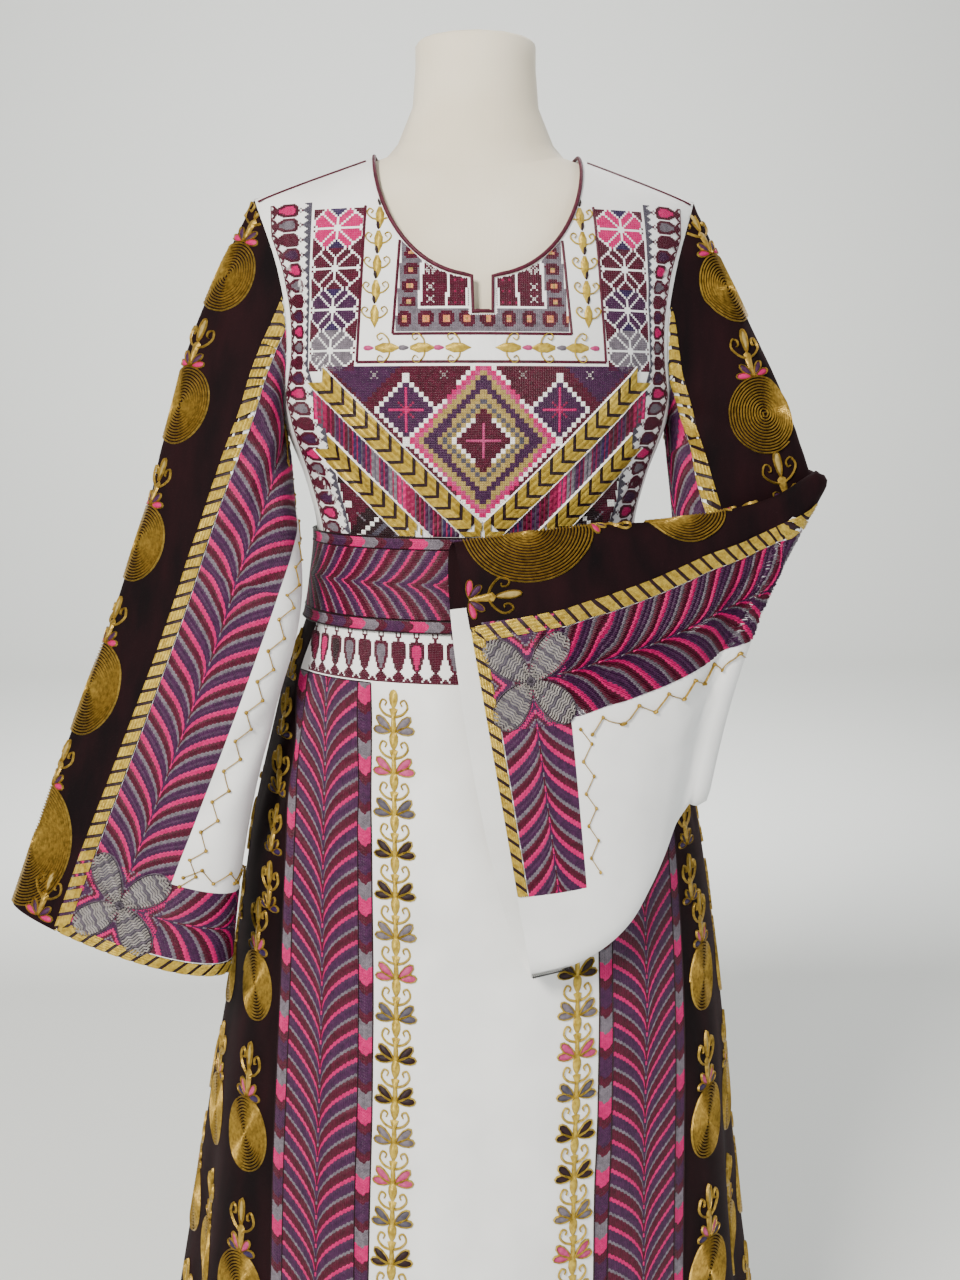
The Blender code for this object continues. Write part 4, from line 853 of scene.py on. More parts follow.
def addBinding():
    # corded burgundy binding along the raw edge of the neck, front and back
    path, out = [], []
    for behind in (False, True):
        angle, z = bodiceGrid(behind)
        skip = binding["shoulderPoints"]
        edge = slice(skip + behind, -skip - behind)
        path.append(onBody(angle[-1, edge], z[-1, edge]))
        out.append(bodyNormal(angle[-1, edge], z[-1, edge]))
    path, out = np.concatenate(path), np.concatenate(out)
    ahead = unit(np.roll(path, -1, axis=0) - path)
    away = unit(unit(np.cross(out, ahead)) + unit(np.cross(out, np.roll(ahead, 1, axis=0))))
    middle = path + away * binding["radius"] + out * binding["lift"]
    turns = np.linspace(0, 2 * math.pi, binding["sides"], endpoint=False)
    rings = [middle + binding["radius"] * (math.cos(t) * away + math.sin(t) * out) for t in turns]
    grid = np.stack(rings, axis=1)
    grid = np.concatenate([grid, grid[:1]])
    faces = gridFaces(len(grid), binding["sides"], True)[:, ::-1]
    piece = makePiece("neck_binding_cord", grid.reshape(-1, 3), [faces], [threads["burgundy"]], sharp=80)
    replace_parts(piece, "neck_binding")


# cut of each sleeve piece, as above
velvetHalf = 0.070
# the back edge of the forearm's velvet: metres down from the elbow and metres from the centre
forearmBackEdge = ((0.0, 0.045), (0.04, 0.049), (0.13, 0.055), (0.20, 0.070), (0.27, 0.083), (0.4, 0.090))


def backEdge(lines, along):
    # the velvet's back edge, drawn in where the sleeve folds
    if lines is forearmLines:
        return -np.interp(along, *zip(*forearmBackEdge))
    return straightEdge(-velvetHalf)(along)


def stripEdge(parts, across):
    # column of a line at some distance from the velvet's centre, at every row of the sleeve
    rows, columns = [], []
    for lines in parts:
        along = np.arange(0, lines["length"], walk["step"])
        found = gridPlace(lines, across(lines, along), along)
        kept = (found[0] >= lines["first"]) & (found[0] <= lines["last"])
        rows.append(found[0][kept])
        columns.append(found[1][kept])
    rows, columns = np.concatenate(rows), np.concatenate(columns)
    order = np.argsort(rows)
    count = parts[0]["sleeve"]["points"].shape[0]
    return np.interp(np.arange(count), rows[order], columns[order])


def addSleeve(prefix, parts, side):
    sleeve = parts[0]["sleeve"]
    rows = np.arange(len(sleeve["points"]))[:, None].astype(float)
    front = stripEdge(parts, lambda lines, along: velvetHalf)[:, None]
    back = stripEdge(parts, backEdge)[:, None]
    positions = np.arange(len(sleeve["reach"]))
    under = np.interp(sleeve["half"], sleeve["reach"], positions)[:, None]
    behind = np.interp(sleeve["half"] - sleeve["whole"], sleeve["reach"], positions)[:, None]
    shares = np.linspace(0, 1, 30)[None, :]
    made = {}
    for piece, start, end, material in (("velvet", back, front, velvet), ("front", front, under, crepe),
                                        ("back", behind, back, crepe)):
        name = prefix + "_" + piece
        columns = start + (end - start) * shares
        columns = (columns[:, ::-1] if side < 0 else columns)[::-1]
        down = np.broadcast_to(rows[::-1], columns.shape)
        outer, inner = gridPoint(sleeve, down, columns), gridPoint(sleeve, down, columns, -cut["thick"])
        made[name] = shell(name + "_cloth", outer, inner, material)
        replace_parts(made[name], name)


def finishForm():
    # the dress form and its stand keep their CAD shapes, with smooth faces and real finishes
    for node, material in (("form_body", jersey), ("form_pole", lacquer), ("form_collar", lacquer),
                           ("form_base", lacquer)):
        source = bpy.data.objects[node]
        joined = bmesh.new()
        joined.from_mesh(source.data)
        joined.transform(source.matrix_world)
        bmesh.ops.remove_doubles(joined, verts=joined.verts, dist=1e-5)
        mesh = bpy.data.meshes.new(node + "_finish")
        joined.to_mesh(mesh)
        joined.free()
        mesh.materials.clear()
        mesh.materials.append(material)
        mesh.polygons.foreach_set("material_index", [0] * len(mesh.polygons))
        mesh.polygons.foreach_set("use_smooth", [True] * len(mesh.polygons))
        mesh.set_sharp_from_angle(angle=math.radians(48))
        piece = addObject(node + "_finish", mesh)
        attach(piece, "root")
        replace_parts(piece, node)


threadOrder = list(threadTones)


def kind(name):
    return threadOrder.index(name)


def newWork():
    return dict(points=[], faces=[], kinds=[], count=0)


def addPart(work, points, faces, kinds):
    # points are across, along and lift; faces are triangles; kinds number the threads
    work["points"].append(points)
    work["faces"].append(faces + work["count"])
    work["kinds"].append(np.broadcast_to(kinds, (len(faces),)))
    work["count"] += len(points)


def addTiles(work, corners, kinds, high=0.0006, base=0.0002):
    # one low pyramid for each stitch, from its four corners
    count = len(corners)
    points = np.empty((count, 5, 3))
    points[:, :4, :2], points[:, 4, :2] = corners, corners.mean(axis=1)
    points[:, :4, 2], points[:, 4, 2] = base, high
    start = np.arange(count)[:, None] * 5
    sides = ((0, 1, 4), (1, 2, 4), (2, 3, 4), (3, 0, 4))
    faces = np.concatenate([start + np.array(side) for side in sides])
    addPart(work, points.reshape(-1, 3), faces, np.tile(np.broadcast_to(kinds, (count,)), 4))


def addRibbon(work, path, wide, name, high=0.0012, base=0.0002):
    # ridge of thread laid along a path
    path = np.asarray(path, float)
    ahead = unit(np.gradient(path, axis=0))
    side = np.stack([-ahead[:, 1], ahead[:, 0]], 1) * (np.broadcast_to(wide, (len(path),)) / 2)[:, None]
    flat = np.full((len(path), 1), base)
    points = np.stack([np.hstack([path + side, flat]), np.hstack([path, flat * 0 + high]),
                       np.hstack([path - side, flat])], 1)
    i = np.arange(len(path) - 1)[:, None] * 3
    faces = np.concatenate([i + np.array(f) for f in ((0, 1, 4), (0, 4, 3), (1, 2, 5), (1, 5, 4))])
    addPart(work, points.reshape(-1, 3), faces, kind(name))


def addFan(work, edge, name, high=0.0016, base=0.0002):
    # domed satin leaf inside a closed outline
    edge = np.asarray(edge, float)
    count, middle = len(edge), edge.mean(axis=0)
    inner = middle + (edge - middle) * 0.6
    points = np.vstack([np.hstack([edge, np.full((count, 1), base)]),
                        np.hstack([inner, np.full((count, 1), base + (high - base) * 0.8)]),
                        [[middle[0], middle[1], high]]])
    i = np.arange(count)[:, None]
    j = (i + 1) % count
    faces = np.concatenate([np.hstack([i, j, j + count]), np.hstack([i, j + count, i + count]),
                            np.hstack([i + count, j + count, np.full((count, 1), 2 * count)])])
    addPart(work, points, faces, kind(name))


def finishWork(name, work, place, sharp=None, keep=None):
    # one piece from all parts of a work, laid on the cloth; keep leaves out what lies beyond its edges
    flat, faces, kinds = (np.concatenate(work[key]) for key in ("points", "faces", "kinds"))
    if keep is not None:
        kept = keep(flat[:, 0], flat[:, 1])[faces].all(axis=1)
        faces, kinds = faces[kept], kinds[kept]
    used, faces = np.unique(faces, return_inverse=True)
    faces, flat = faces.reshape(-1, 3), flat[used]
    points = place(flat[:, 0], flat[:, 1], flat[:, 2])
    outward = place(flat[:, 0], flat[:, 1], flat[:, 2] + 0.001) - points
    a, b, c = (points[faces[:, k]] for k in range(3))
    turned = np.sum(np.cross(b - a, c - a) * outward[faces[:, 0]], axis=1) < 0
    faces[turned] = faces[turned][:, ::-1]
    names, slots = np.unique(kinds, return_inverse=True)
    return makePiece(name, points, [faces], [threads[threadOrder[k]] for k in names], slots, sharp)


def fishbone(work, half, start, stop, rise, ribs, power, pitch=0.0016, middle=0.0, split=0.007):
    # ribs of upright stitches that climb from the spine to both edges
    columns = np.arange(-half + pitch / 2, half, pitch)
    climb = rise * (np.abs(columns) / half) ** power
    slope = np.gradient(climb, columns) * pitch / 2
    ragged = 0.0004 * np.where(np.arange(len(columns)) % 2, 1, -1)
    left, right = middle + columns - pitch / 2, middle + columns + pitch / 2
    period = round(sum(tall for name, tall in ribs), 4)
    first = start - max(rise, 0) - period
    corners, kinds = [], []
    for k in range(int((stop - start + abs(rise)) / period) + 3):
        low = first + k * period
        for name, tall in ribs:
            pieces = max(1, int(round(tall / split)))
            for n in range(pieces):
                a = low + tall * n / pieces + climb + ragged
                b = low + tall * (n + 1) / pieces + climb + ragged
                tile = np.stack([np.stack([left, a - slope], 1), np.stack([right, a + slope], 1),
                                 np.stack([right, b + slope], 1), np.stack([left, b - slope], 1)], 1)
                tile[..., 1] = np.clip(tile[..., 1], start, stop)
                kept = tile[:, 2, 1] + tile[:, 3, 1] - tile[:, 0, 1] - tile[:, 1, 1] > 0.0008
                corners.append(tile[kept])
                kinds.append(np.full(kept.sum(), kind(name)))
            low += tall
    addTiles(work, np.concatenate(corners), np.concatenate(kinds), 0.0008)


goldBars = dict(period=0.0135, gold=0.0106, step=0.0011, slant=-0.009, ground=0.0004, base=0.0014,
                high=0.0018)


def goldBorder(work, start, stop, inner, outer, slant=goldBars["slant"]):
    # padded satin bars set aslant on a dark ground; inner and outer are edges as functions of the length
    ends = np.arange(start, stop, 0.004)
    middle = (inner(ends) + outer(ends)) / 2
    addRibbon(work, np.stack([middle, ends], 1), np.abs(outer(ends) - inner(ends)), "darkBurgundy",
              goldBars["ground"], 0.0)
    corners = []
    across, step = np.linspace(0, 1, 6), goldBars["step"]
    for low in np.arange(start - 0.01, stop + 0.01, goldBars["period"]):
        for n in range(int(goldBars["gold"] / step)):
            a = low + n * step + slant * across
            b = a + step
            left, right = inner(np.clip(a, start, stop)), outer(np.clip(a, start, stop))
            u = left + (right - left) * across
            tile = np.stack([np.stack([u[:-1], a[:-1]], 1), np.stack([u[1:], a[1:]], 1),
                             np.stack([u[1:], b[1:]], 1), np.stack([u[:-1], b[:-1]], 1)], 1)
            tile[..., 1] = np.clip(tile[..., 1], start, stop)
            corners.append(tile[tile[:, 2, 1] > tile[:, 1, 1] + 0.0003])
    addTiles(work, np.concatenate(corners), kind("brightGold"), goldBars["high"], goldBars["base"])


def roundel(work, u0, v0, radius):
    # couched cord wound from the centre outwards
    pitch, tall = 0.0027, 1.08
    turns = radius / pitch
    t = np.sqrt(np.linspace(0.002, 1, max(16, int(turns * 30))))
    r, a = radius * t, 2 * math.pi * turns * t
    path = np.stack([u0 + r * np.cos(a), v0 + r * np.sin(a) * tall], 1)
    addRibbon(work, path, pitch * 0.60, "gold", 0.0022)


def curve(*knots, count=12):
    # smooth path through a few knots
    knots = np.array(knots, float)
    t = np.linspace(0, len(knots) - 1, count)
    where = np.arange(len(knots))
    return np.stack([smooth(where, knots[:, 0], t), smooth(where, knots[:, 1], t)], 1)


def leafEdge(tip, base, wide, count=12):
    # outline of a pointed leaf
    tip, base = np.array(tip, float), np.array(base, float)
    t = np.linspace(0, 2 * math.pi, count, endpoint=False)
    axis = tip - base
    side = np.array([-axis[1], axis[0]]) / np.hypot(*axis)
    along = (1 + np.cos(t)) / 2
    swell = np.sin(t) * np.sqrt(np.maximum(along, 0)) ** 0.6 * wide
    return base + along[:, None] * axis + swell[:, None] * side


def addLeaf(work, edge, fill, high, rim, wide, rimHigh):
    # satin leaf with a couched cord round it
    addFan(work, edge, fill, high)
    addRibbon(work, np.vstack([edge, edge[:2]]), wide, rim, rimHigh)


def moved(path, u0, v0, turn, size, flip):
    # place a small drawing: flipped, scaled, turned and set down
    path = np.asarray(path, float) * size * np.array([flip, 1])
    c, s = math.cos(turn), math.sin(turn)
    return path @ np.array([[c, s], [-s, c]]) + np.array([u0, v0])


def sprig(work, u0, v0, turn, size, leaves):
    # gold stem with a bud and two curls, and a fan of leaves at its foot; it grows along +v before turning
    def put(path, flip=1):
        return moved(path, u0, v0, turn, size, flip)
    addFan(work, put([(-0.0022, 0), (0.0022, 0), (0.0032, 0.012), (0.0042, 0.022), (0, 0.025),
                      (-0.0042, 0.022), (-0.0032, 0.012)]), "gold", 0.0026)
    addLeaf(work, put(leafEdge((0, 0.047), (0, 0.024), 0.0042)), "tan", 0.0022, "gold", 0.0014, 0.0026)
    curl = curve((0.002, 0.018), (0.010, 0.022), (0.0165, 0.030), (0.0135, 0.038), (0.0085, 0.036),
                 (0.0085, 0.031), (0.0115, 0.031), count=18)
    for flip in (-1, 1):
        addRibbon(work, put(curl, flip), np.linspace(0.0024, 0.0015, 18), "gold", 0.0024)
        for lean, name in zip((38, 74), leaves):
            a = math.radians(lean)
            tip = (0.019 * math.sin(a), 0.019 * math.cos(a) - 0.002)
            leaf = put(leafEdge(tip, (0.002 * math.sin(a), 0.0), 0.0038), flip)
            addLeaf(work, leaf, name, 0.0020, "gold", 0.0013, 0.0023)


def zigzag(work, edge, start, stop, pitch=0.0145, swing=0.011):
    # couched gold zigzag beside an edge, with a knot at every corner
    v = np.arange(start, stop, pitch)
    corners = np.stack([edge + swing * (np.arange(len(v)) % 2), v], 1)
    for a, b in zip(corners[:-1], corners[1:]):
        addRibbon(work, a + (b - a) * np.linspace(0, 1, 5)[:, None], 0.0011, "gold", 0.0014)
    t = np.linspace(0, 2 * math.pi, 8, endpoint=False)
    for corner in corners:
        addFan(work, corner + 0.0020 * np.stack([np.cos(t), np.sin(t)], 1), "gold", 0.0026)


def addCells(work, spots, kinds, cell, fill, high):
    # one square stitch at every spot
    half = cell * fill / 2
    shape = np.array([(-half, -half), (half, -half), (half, half), (-half, half)])
    addTiles(work, spots[:, None, :] + shape[None], np.asarray(kinds), high)


def addChart(work, rows, left, top, cell, names, fill=0.92, high=0.0006, mirror=False):
    # counted stitches from rows of letters, first row on top
    spots, kinds = [], []
    for i, row in enumerate(rows):
        for j, letter in enumerate(row[::-1] if mirror else row):
            if letter in names:
                spots.append((left + (j + 0.5) * cell, top - (i + 0.5) * cell))
                kinds.append(kind(names[letter]))
    addCells(work, np.array(spots), kinds, cell, fill, high)


def lattice(across, along):
    # centres of counted stitches, row by row
    u, v = np.meshgrid(across, along)
    return u.ravel(), v.ravel()


def pickThreads(shape, ground, parts):
    # number of the thread at every stitch; a later part covers an earlier one
    thread = np.full(shape, kind(ground))
    for part, name in parts:
        thread[part] = kind(name)
    return thread


# ribs of one repeat, thread and height of each, and the braid along both sides of a band
bandWork = dict(ribs=(("burgundy", 0.0100), ("grey", 0.0028), ("purple", 0.0104), ("pink", 0.0038)),
                half=0.0345, rise=0.050, power=0.46,
                braid=dict(at=0.0408, half=0.0060, line=0.0062, rise=0.0055))
beltWork = dict(ribs=(("grey", 0.0024), ("purple", 0.0090), ("pink", 0.0030), ("burgundy", 0.0102)),
                half=0.0320, rise=0.032, power=0.55,
                braid=dict(at=0.0385, half=0.0055, line=0.0060, rise=-0.005))
sleeveRibs = (("burgundy", 0.0082), ("pink", 0.0052), ("purple", 0.0108), ("grey", 0.0038))
braidRibs = ((("pink", 0.0029),) * 5 + (("grey", 0.0029),) * 5 + (("burgundy", 0.0029),) * 3
             + (("purple", 0.0029),) * 6 + (("burgundy", 0.0029),) * 3)
bandHalf = 0.047


def addStripes(name, settings, start, stop, place):
    # fishbone down the middle of a band, and along each side a narrow braid between dark lines
    work = newWork()
    fishbone(work, settings["half"], start, stop, settings["rise"], settings["ribs"], settings["power"])
    finishWork(name.format("fishbone"), work, place)
    work = newWork()
    braid = settings["braid"]
    for middle in (-braid["at"], braid["at"]):
        fishbone(work, braid["half"], start, stop, braid["rise"], braidRibs, 0.9, 0.0020, middle)
        for edge in (-braid["line"], braid["line"]):
            line = np.stack([np.full(230, middle + edge), np.linspace(start, stop, 230)], 1)
            addRibbon(work, line, 0.0013, "darkBurgundy", 0.0013)
    finishWork(name.format("braid"), work, place)


def onBand(side):
    def place(u, v, lift):
        inner, outer = bandAngles(v)
        return onBody(side * (inner + (outer - inner) * (0.5 + u / bandHalf / 2)), v, lift)
    return place


def onBelt(v, u, lift):
    return onRound(u, (cut["beltLow"] + cut["beltTop"]) / 2 + v, cut["beltOut"] + lift)


def addBandsAndBelt():
    for side, name in ((-1, "left"), (1, "right")):
        addStripes("band_{}_" + name, bandWork, cut["hem"] + 0.001, cut["hipSeam"] - 0.001, onBand(side))
    middle = (cut["beltLow"] + cut["beltTop"]) / 2
    half = float(np.interp(middle, arcs["heights"], arcs["whole"])) / 2
    addStripes("belt_{}", beltWork, -half, half, onBelt)


# one jar of the hip band: a ring, a neck, a tapering body and a stepped foot
jarRows = ("...BBBBBB...", ".....BB.....", ".....BB.....", "....BBBB....", "....B..B....", "....B..B....",
           "....BBBB....", ".....BB.....", ".....BB.....", "..BBBBBBBB..", ".BBBBBBBBBB.", ".BBBJJJJBBB.",
           ".BBJJJJJJBB.", ".BBJJJJJJBB.", ".BBJJJJJJBB.", ".BBJJJJJJBB.", ".BBJJJJJJBB.", ".BBJJJJJJBB.",
           ".BBBJJJJBBB.", "..BBJJJJBB..", "..BBJJJJBB..", "..BBJJJJBB..", "...BBJJBB...", "...BBJJBB...",
           "...BBJJBB...", "....BBBB....", ".....BB.....", "....BBBB....", "...BBBBBB...", "..BBBBBBBB..",
           "B.BBBBBBBB.B", "BB.BBBBBB.BB", "BBBBBBBBBBBB")
jarColours = ("burgundy", "grey", "burgundy", "pink", "burgundy", "grey", "purple", "darkPink", "pink",
              "darkBurgundy", "grey")
hipBand = dict(cell=0.0015, lift=0.0012, middle=0.975, firstColour=40)


def addHipBand():
    # jars side by side, as far round as the outer edges of the fishbone bands
    cell, middle = hipBand["cell"], hipBand["middle"]
    count = int(arcLength(float(bandOut(np.array(middle))), middle) / (12 * cell))
    top = cut["hipSeam"] + hipBand["lift"] + len(jarRows) * cell
    work = newWork()
    for k in range(-count, count):
        names = dict(B="burgundy", J=jarColours[(k + hipBand["firstColour"]) % len(jarColours)])
        addChart(work, jarRows, k * 12 * cell, top, cell, names, 0.96)
    finishWork("hip_band_jars", work, onRound)


vine = dict(step=0.0372, at=0.0840, gap=0.006,
            colours=("grey", "darkBurgundy", "rose", "darkBurgundy", "slate"),
            leaves=((50, 0.0205), (86, 0.0190)))     # leaves: lean in degrees and length


def vineUnit(work, u, v, colour):
    # one step of the gold vine: spindle bud, two curls, a stem and two pairs of leaves
    def put(path, flip=1):
        return moved(path, u, v, 0, 1, flip)
    addFan(work, put(leafEdge((0, 0.0385), (0, 0.0205), 0.0052)), "brightGold", 0.0026)
    stem = [(-0.0018, -0.001), (0.0018, -0.001), (0.0024, 0.008), (0.0018, 0.015), (0.0042, 0.021),
            (0, 0.0225), (-0.0042, 0.021), (-0.0018, 0.015), (-0.0024, 0.008)]
    addFan(work, put(stem), "brightGold", 0.0024)
    curl = curve((0.002, 0.014), (0.0085, 0.0165), (0.0130, 0.0225), (0.0105, 0.0290), (0.0065, 0.0272),
                 (0.0078, 0.0237), count=14)
    for flip in (-1, 1):
        addRibbon(work, put(curl, flip), np.linspace(0.0028, 0.0016, 14), "brightGold", 0.0024)
        for lean, long in vine["leaves"]:
            a = math.radians(lean)
            tip = (long * math.sin(a), 0.001 + long * math.cos(a))
            leaf = put(leafEdge(tip, (0.0025 * math.sin(a), 0.001), 0.0044, 10), flip)
            addLeaf(work, leaf, colour, 0.0018, "brightGold", 0.0017, 0.0023)


def addVines():
    step, colours = vine["step"], vine["colours"]
    for side, name in ((-1, "left"), (1, "right")):
        work = newWork()
        for k in range(int((cut["hipSeam"] - cut["hem"] - 0.01) / step)):
            v = cut["hipSeam"] - vine["gap"] - (k + 1) * step
            vineUnit(work, side * vine["at"], v, colours[(k * 2 + (side > 0)) % len(colours)])
        finishWork("skirt_vine_" + name, work, onSkirt, sharp=60)


def onSkirt(u, v, lift):
    return onBody(angleAt(u, v), v, lift)


def arcLength(angle, z):
    # way along the cloth from the middle of the front to an angle, at one height
    row = int(round(np.interp(z, arcs["heights"], np.arange(len(arcs["heights"])))))
    return float(np.interp(angle, arcs["angles"][row], arcs["lengths"]))


# gold on the velvet: metres out from the band and metres down for each column, then what stands in it
sideGold = dict(
    columns=((0.043, 0.0), (0.125, 0.02), (0.207, 0.0), (0.289, 0.02), (0.371, 0.0)), apart=0.02,
    roundels=((0.645, 0.031), (0.505, 0.033), (0.355, 0.034), (0.200, 0.034)),     # height and radius
    hipSprigs=(0.955, 0.70, -0.0545), hipOut=0.024, upperSprigs=(0.93, 0.86, 0.79, 0.72), footSprig=0.095,
    seamGap=0.004,
)


def addSides():
    # roundels and sprigs on the velvet beside the bands, as far round as the velvet goes
    def beside(z, out):
        return arcLength(float(bandOut(np.array(z))), z) + out

    def clear(wide, z, half):
        return wide + half < arcLength(math.radians(cut["sideBack"]), z) - sideGold["seamGap"]
    for side, name in ((-1, "left"), (1, "right")):
        work = newWork()
        for z in np.arange(*sideGold["hipSprigs"]):
            wide = beside(z, sideGold["hipOut"])
            sprig(work, side * wide, z - 0.012, 0.0, 0.95, ("darkBurgundy", "violet"))
        for column, (out, drop) in enumerate(sideGold["columns"]):
            apart = out + sideGold["apart"] * (column > 0)
            for top, radius in sideGold["roundels"]:
                z = top - drop
                wide = beside(z, apart)
                if clear(wide, z + radius, radius):
                    roundel(work, side * wide, z, radius)
                    sprig(work, side * wide, z + radius * 1.06, 0.0, 1.1, ("rose", "violet"))
            z = sideGold["footSprig"]
            wide = beside(z - 0.005, apart)
            if clear(wide, z, 0.02):
                sprig(work, side * wide, z - drop, 0.0, 1.1, ("rose", "violet"))
            for z in sideGold["upperSprigs"]:
                wide = beside(z, out)
                if column and clear(wide, z + 0.03, 0.02):
                    sprig(work, side * wide, z - drop - 0.012, 0.0, 1.0, ("violet", "darkPink"))
        finishWork("skirt_gold_" + name, work, onRound, sharp=60)


def sleeveKeep(lines):
    # true for stitches that lie between the sleeve's first and last rows
    first, last = lines["keep"]

    def keep(u, v):
        rows = gridPlace(lines, u, v)[0]
        return (rows > first) & (rows < last)
    return keep


def onLines(lines):
    # places by length across from the velvet's centre and down from the armhole
    return lambda u, v, lift: onSleeve(lines, u, v, lift)


def straightEdge(value):
    return lambda v: np.full(np.shape(v), value)


def mirroredEdge(lines, side, extra):
    # a line some way beyond the velvet's edge, in front or behind
    if side > 0:
        return straightEdge(velvetHalf + extra)
    return lambda v: backEdge(lines, np.asarray(v)) - extra


# gold border from inner to outer, both from the velvet's edge, then the fishbone strip and its zigzag
strip = dict(inner=-0.002, outer=0.013, fishEdge=0.0135, wide=0.082, rise=-0.045, power=0.50, zigzagOut=0.008,
             fishOverCuff=0.105, zigzagOverCuff=0.135, forearmSeat=0.0012)


def addSleeveStrip(name, lines, side, stop, solids=None, seat=0.0):
    # gold border, fishbone strip and zigzag down one side of the velvet; seat lifts them off a tight fold
    place, keep, half = onLines(lines), sleeveKeep(lines), strip["wide"] / 2
    cuffed = lines is not upperLines
    inner, border, outer = (mirroredEdge(lines, side, strip[edge]) for edge in ("inner", "outer", "fishEdge"))

    def seated(u, v, lift):
        return place(u, v, np.where(lift > 0.0003, lift + seat / 2, lift))

    def beside(u, v, lift):
        return place(outer(v) + side * (u + half), v, np.where(lift > 0.0003, lift + seat, lift))

    def besideKeep(u, v):
        return keep(outer(v) + side * (u + half), v)
    work = newWork()
    goldBorder(work, -0.03, stop, inner, border)
    made = finishWork(name + "_gold", work, seated, keep=keep)
    if solids:
        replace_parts(made, solids)
    work = newWork()
    end = stop - strip["fishOverCuff"] * cuffed
    fishbone(work, half, -0.08, end, strip["rise"], sleeveRibs[::-1], strip["power"])
    finishWork(name + "_fishbone", work, beside, keep=besideKeep)
    work = newWork()
    zigzag(work, half + strip["zigzagOut"], -0.04, stop - strip["zigzagOverCuff"] * cuffed)
    finishWork(name + "_zigzag", work, beside, sharp=60, keep=besideKeep)


def addRoundels(name, lines, rows, sprigs):
    # roundels down the velvet, each with a sprig below it, and single sprigs
    work = newWork()
    for u, v, radius in rows:
        roundel(work, u, v, radius)
        sprig(work, u, v - radius * 1.07, math.pi, 1.0, ("purple", "pink"))
    for u, v, size in sprigs:
        sprig(work, u, v, math.pi, size, ("purple", "pink"))
    finishWork(name, work, onLines(lines), sharp=60, keep=sleeveKeep(lines))


def onCuff(sleeve, side):
    # along the hem: u up from the hem, v from the top fold towards the underarm
    def place(u, v, lift):
        return layOn(sleeve, side * v, sleeve["down"][-1] - u, lift)
    return place


flower = dict(long=0.054, wide=0.0180, rows=20)     # petals, and the wavy rows in each


def petals(work, u0, v0):
    # silver flower of four broad petals worked in wavy satin
    long, wide, rows = flower["long"], flower["wide"], flower["rows"]
    t = np.linspace(-1, 1, 9)
    for turn in (45, 135, 225, 315):
        a = math.radians(turn)
        tip = np.array([math.cos(a), math.sin(a)]) * long
        addLeaf(work, leafEdge(tip, (0, 0), wide, 22) + (u0, v0), "slate", 0.0020, "grey", 0.0014, 0.0024)
        axis = tip / long
        side = np.array([-axis[1], axis[0]])
        for n in range(1, rows):
            share = n / rows
            half = wide * math.sin(math.acos(2 * share - 1)) * math.sqrt(share) ** 0.6 * 0.92
            path = np.array([u0, v0]) + tip * share + side * t[:, None] * half
            path = path + axis * (0.0011 * np.sin(t * 9))[:, None]
            addRibbon(work, path, 0.0019, "grey" if n % 5 == 1 else "silver", 0.0034, 0.0016)


# hem border, then the fishbone above it; the flower's ground is chevrons of four threads
cuff = dict(inner=0.0005, gold=0.0125, slant=0.009, wide=0.072, rise=0.038, power=0.52, zigzagOut=0.010,
            cell=0.0020, chevron=0.0170, chevronSteps=(0.0070, 0.0110, 0.0150),
            chevronThreads=("purple", "pink", "burgundy", "grey"))


def addCuff(name, sleeve, side, start, solid, reach=9.0):
    # hem border, flower at the corner, fishbone towards the underarm and zigzag above it
    place = onCuff(sleeve, side)
    half = float(sleeve["half"][-1])
    under = min((half if side > 0 else float(sleeve["whole"][-1]) - half) - 0.004, start + reach)
    gold, wide, cell = cuff["gold"], cuff["wide"], cuff["cell"]
    high = start + strip["fishEdge"] + strip["wide"]
    corner, middle = start + strip["fishEdge"] + strip["wide"] / 2, gold + wide / 2 + 0.001
    work = newWork()
    goldBorder(work, start, under, straightEdge(cuff["inner"]), straightEdge(gold), cuff["slant"])
    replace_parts(finishWork(name + "_hem_gold", work, place), solid)
    work = newWork()
    fishbone(work, wide / 2, corner + 0.012, under, cuff["rise"], sleeveRibs, cuff["power"])
    finishWork(name + "_fishbone", work, lambda u, v, lift: place(u + middle, v, lift))
    work = newWork()
    # ground of the flower: chevrons that point at its heart
    up, across = lattice(np.arange(gold, gold + wide + 0.002, cell), np.arange(start - 0.003, high, cell))
    near, far = np.abs(up - middle), np.abs(across - corner)
    value = np.maximum(near, far) - 1.1 * np.minimum(near, far)
    tones = np.array([kind(name) for name in cuff["chevronThreads"]])
    thread = tones[np.digitize(value % cuff["chevron"], cuff["chevronSteps"])]
    addCells(work, np.stack([up, across], 1), thread, cell, 1.0, 0.0010)
    petals(work, middle, corner)
    finishWork(name + "_flower", work, place, sharp=60)
    work = newWork()
    zigzag(work, gold + wide + cuff["zigzagOut"], high + 0.008, under)
    finishWork(name + "_zigzag", work, place, sharp=60)


def addOverlock():
    # black overlock stitches at the open end of the folded sleeve's hem
    edge = float(folded["whole"][-1] - folded["half"][-1])
    work = newWork()
    for u in np.arange(0.002, 0.050, 0.0026):
        path = [(u, edge - 0.0120), (u + 0.0012, edge - 0.0075), (u + 0.0004, edge - 0.0030)]
        addRibbon(work, path, 0.0011, "black", 0.0014)
    addRibbon(work, [(u, edge - 0.0075) for u in np.linspace(0.001, 0.052, 20)], 0.0009, "black", 0.0012)
    finishWork("folded_overlock", work, onCuff(folded, -1))


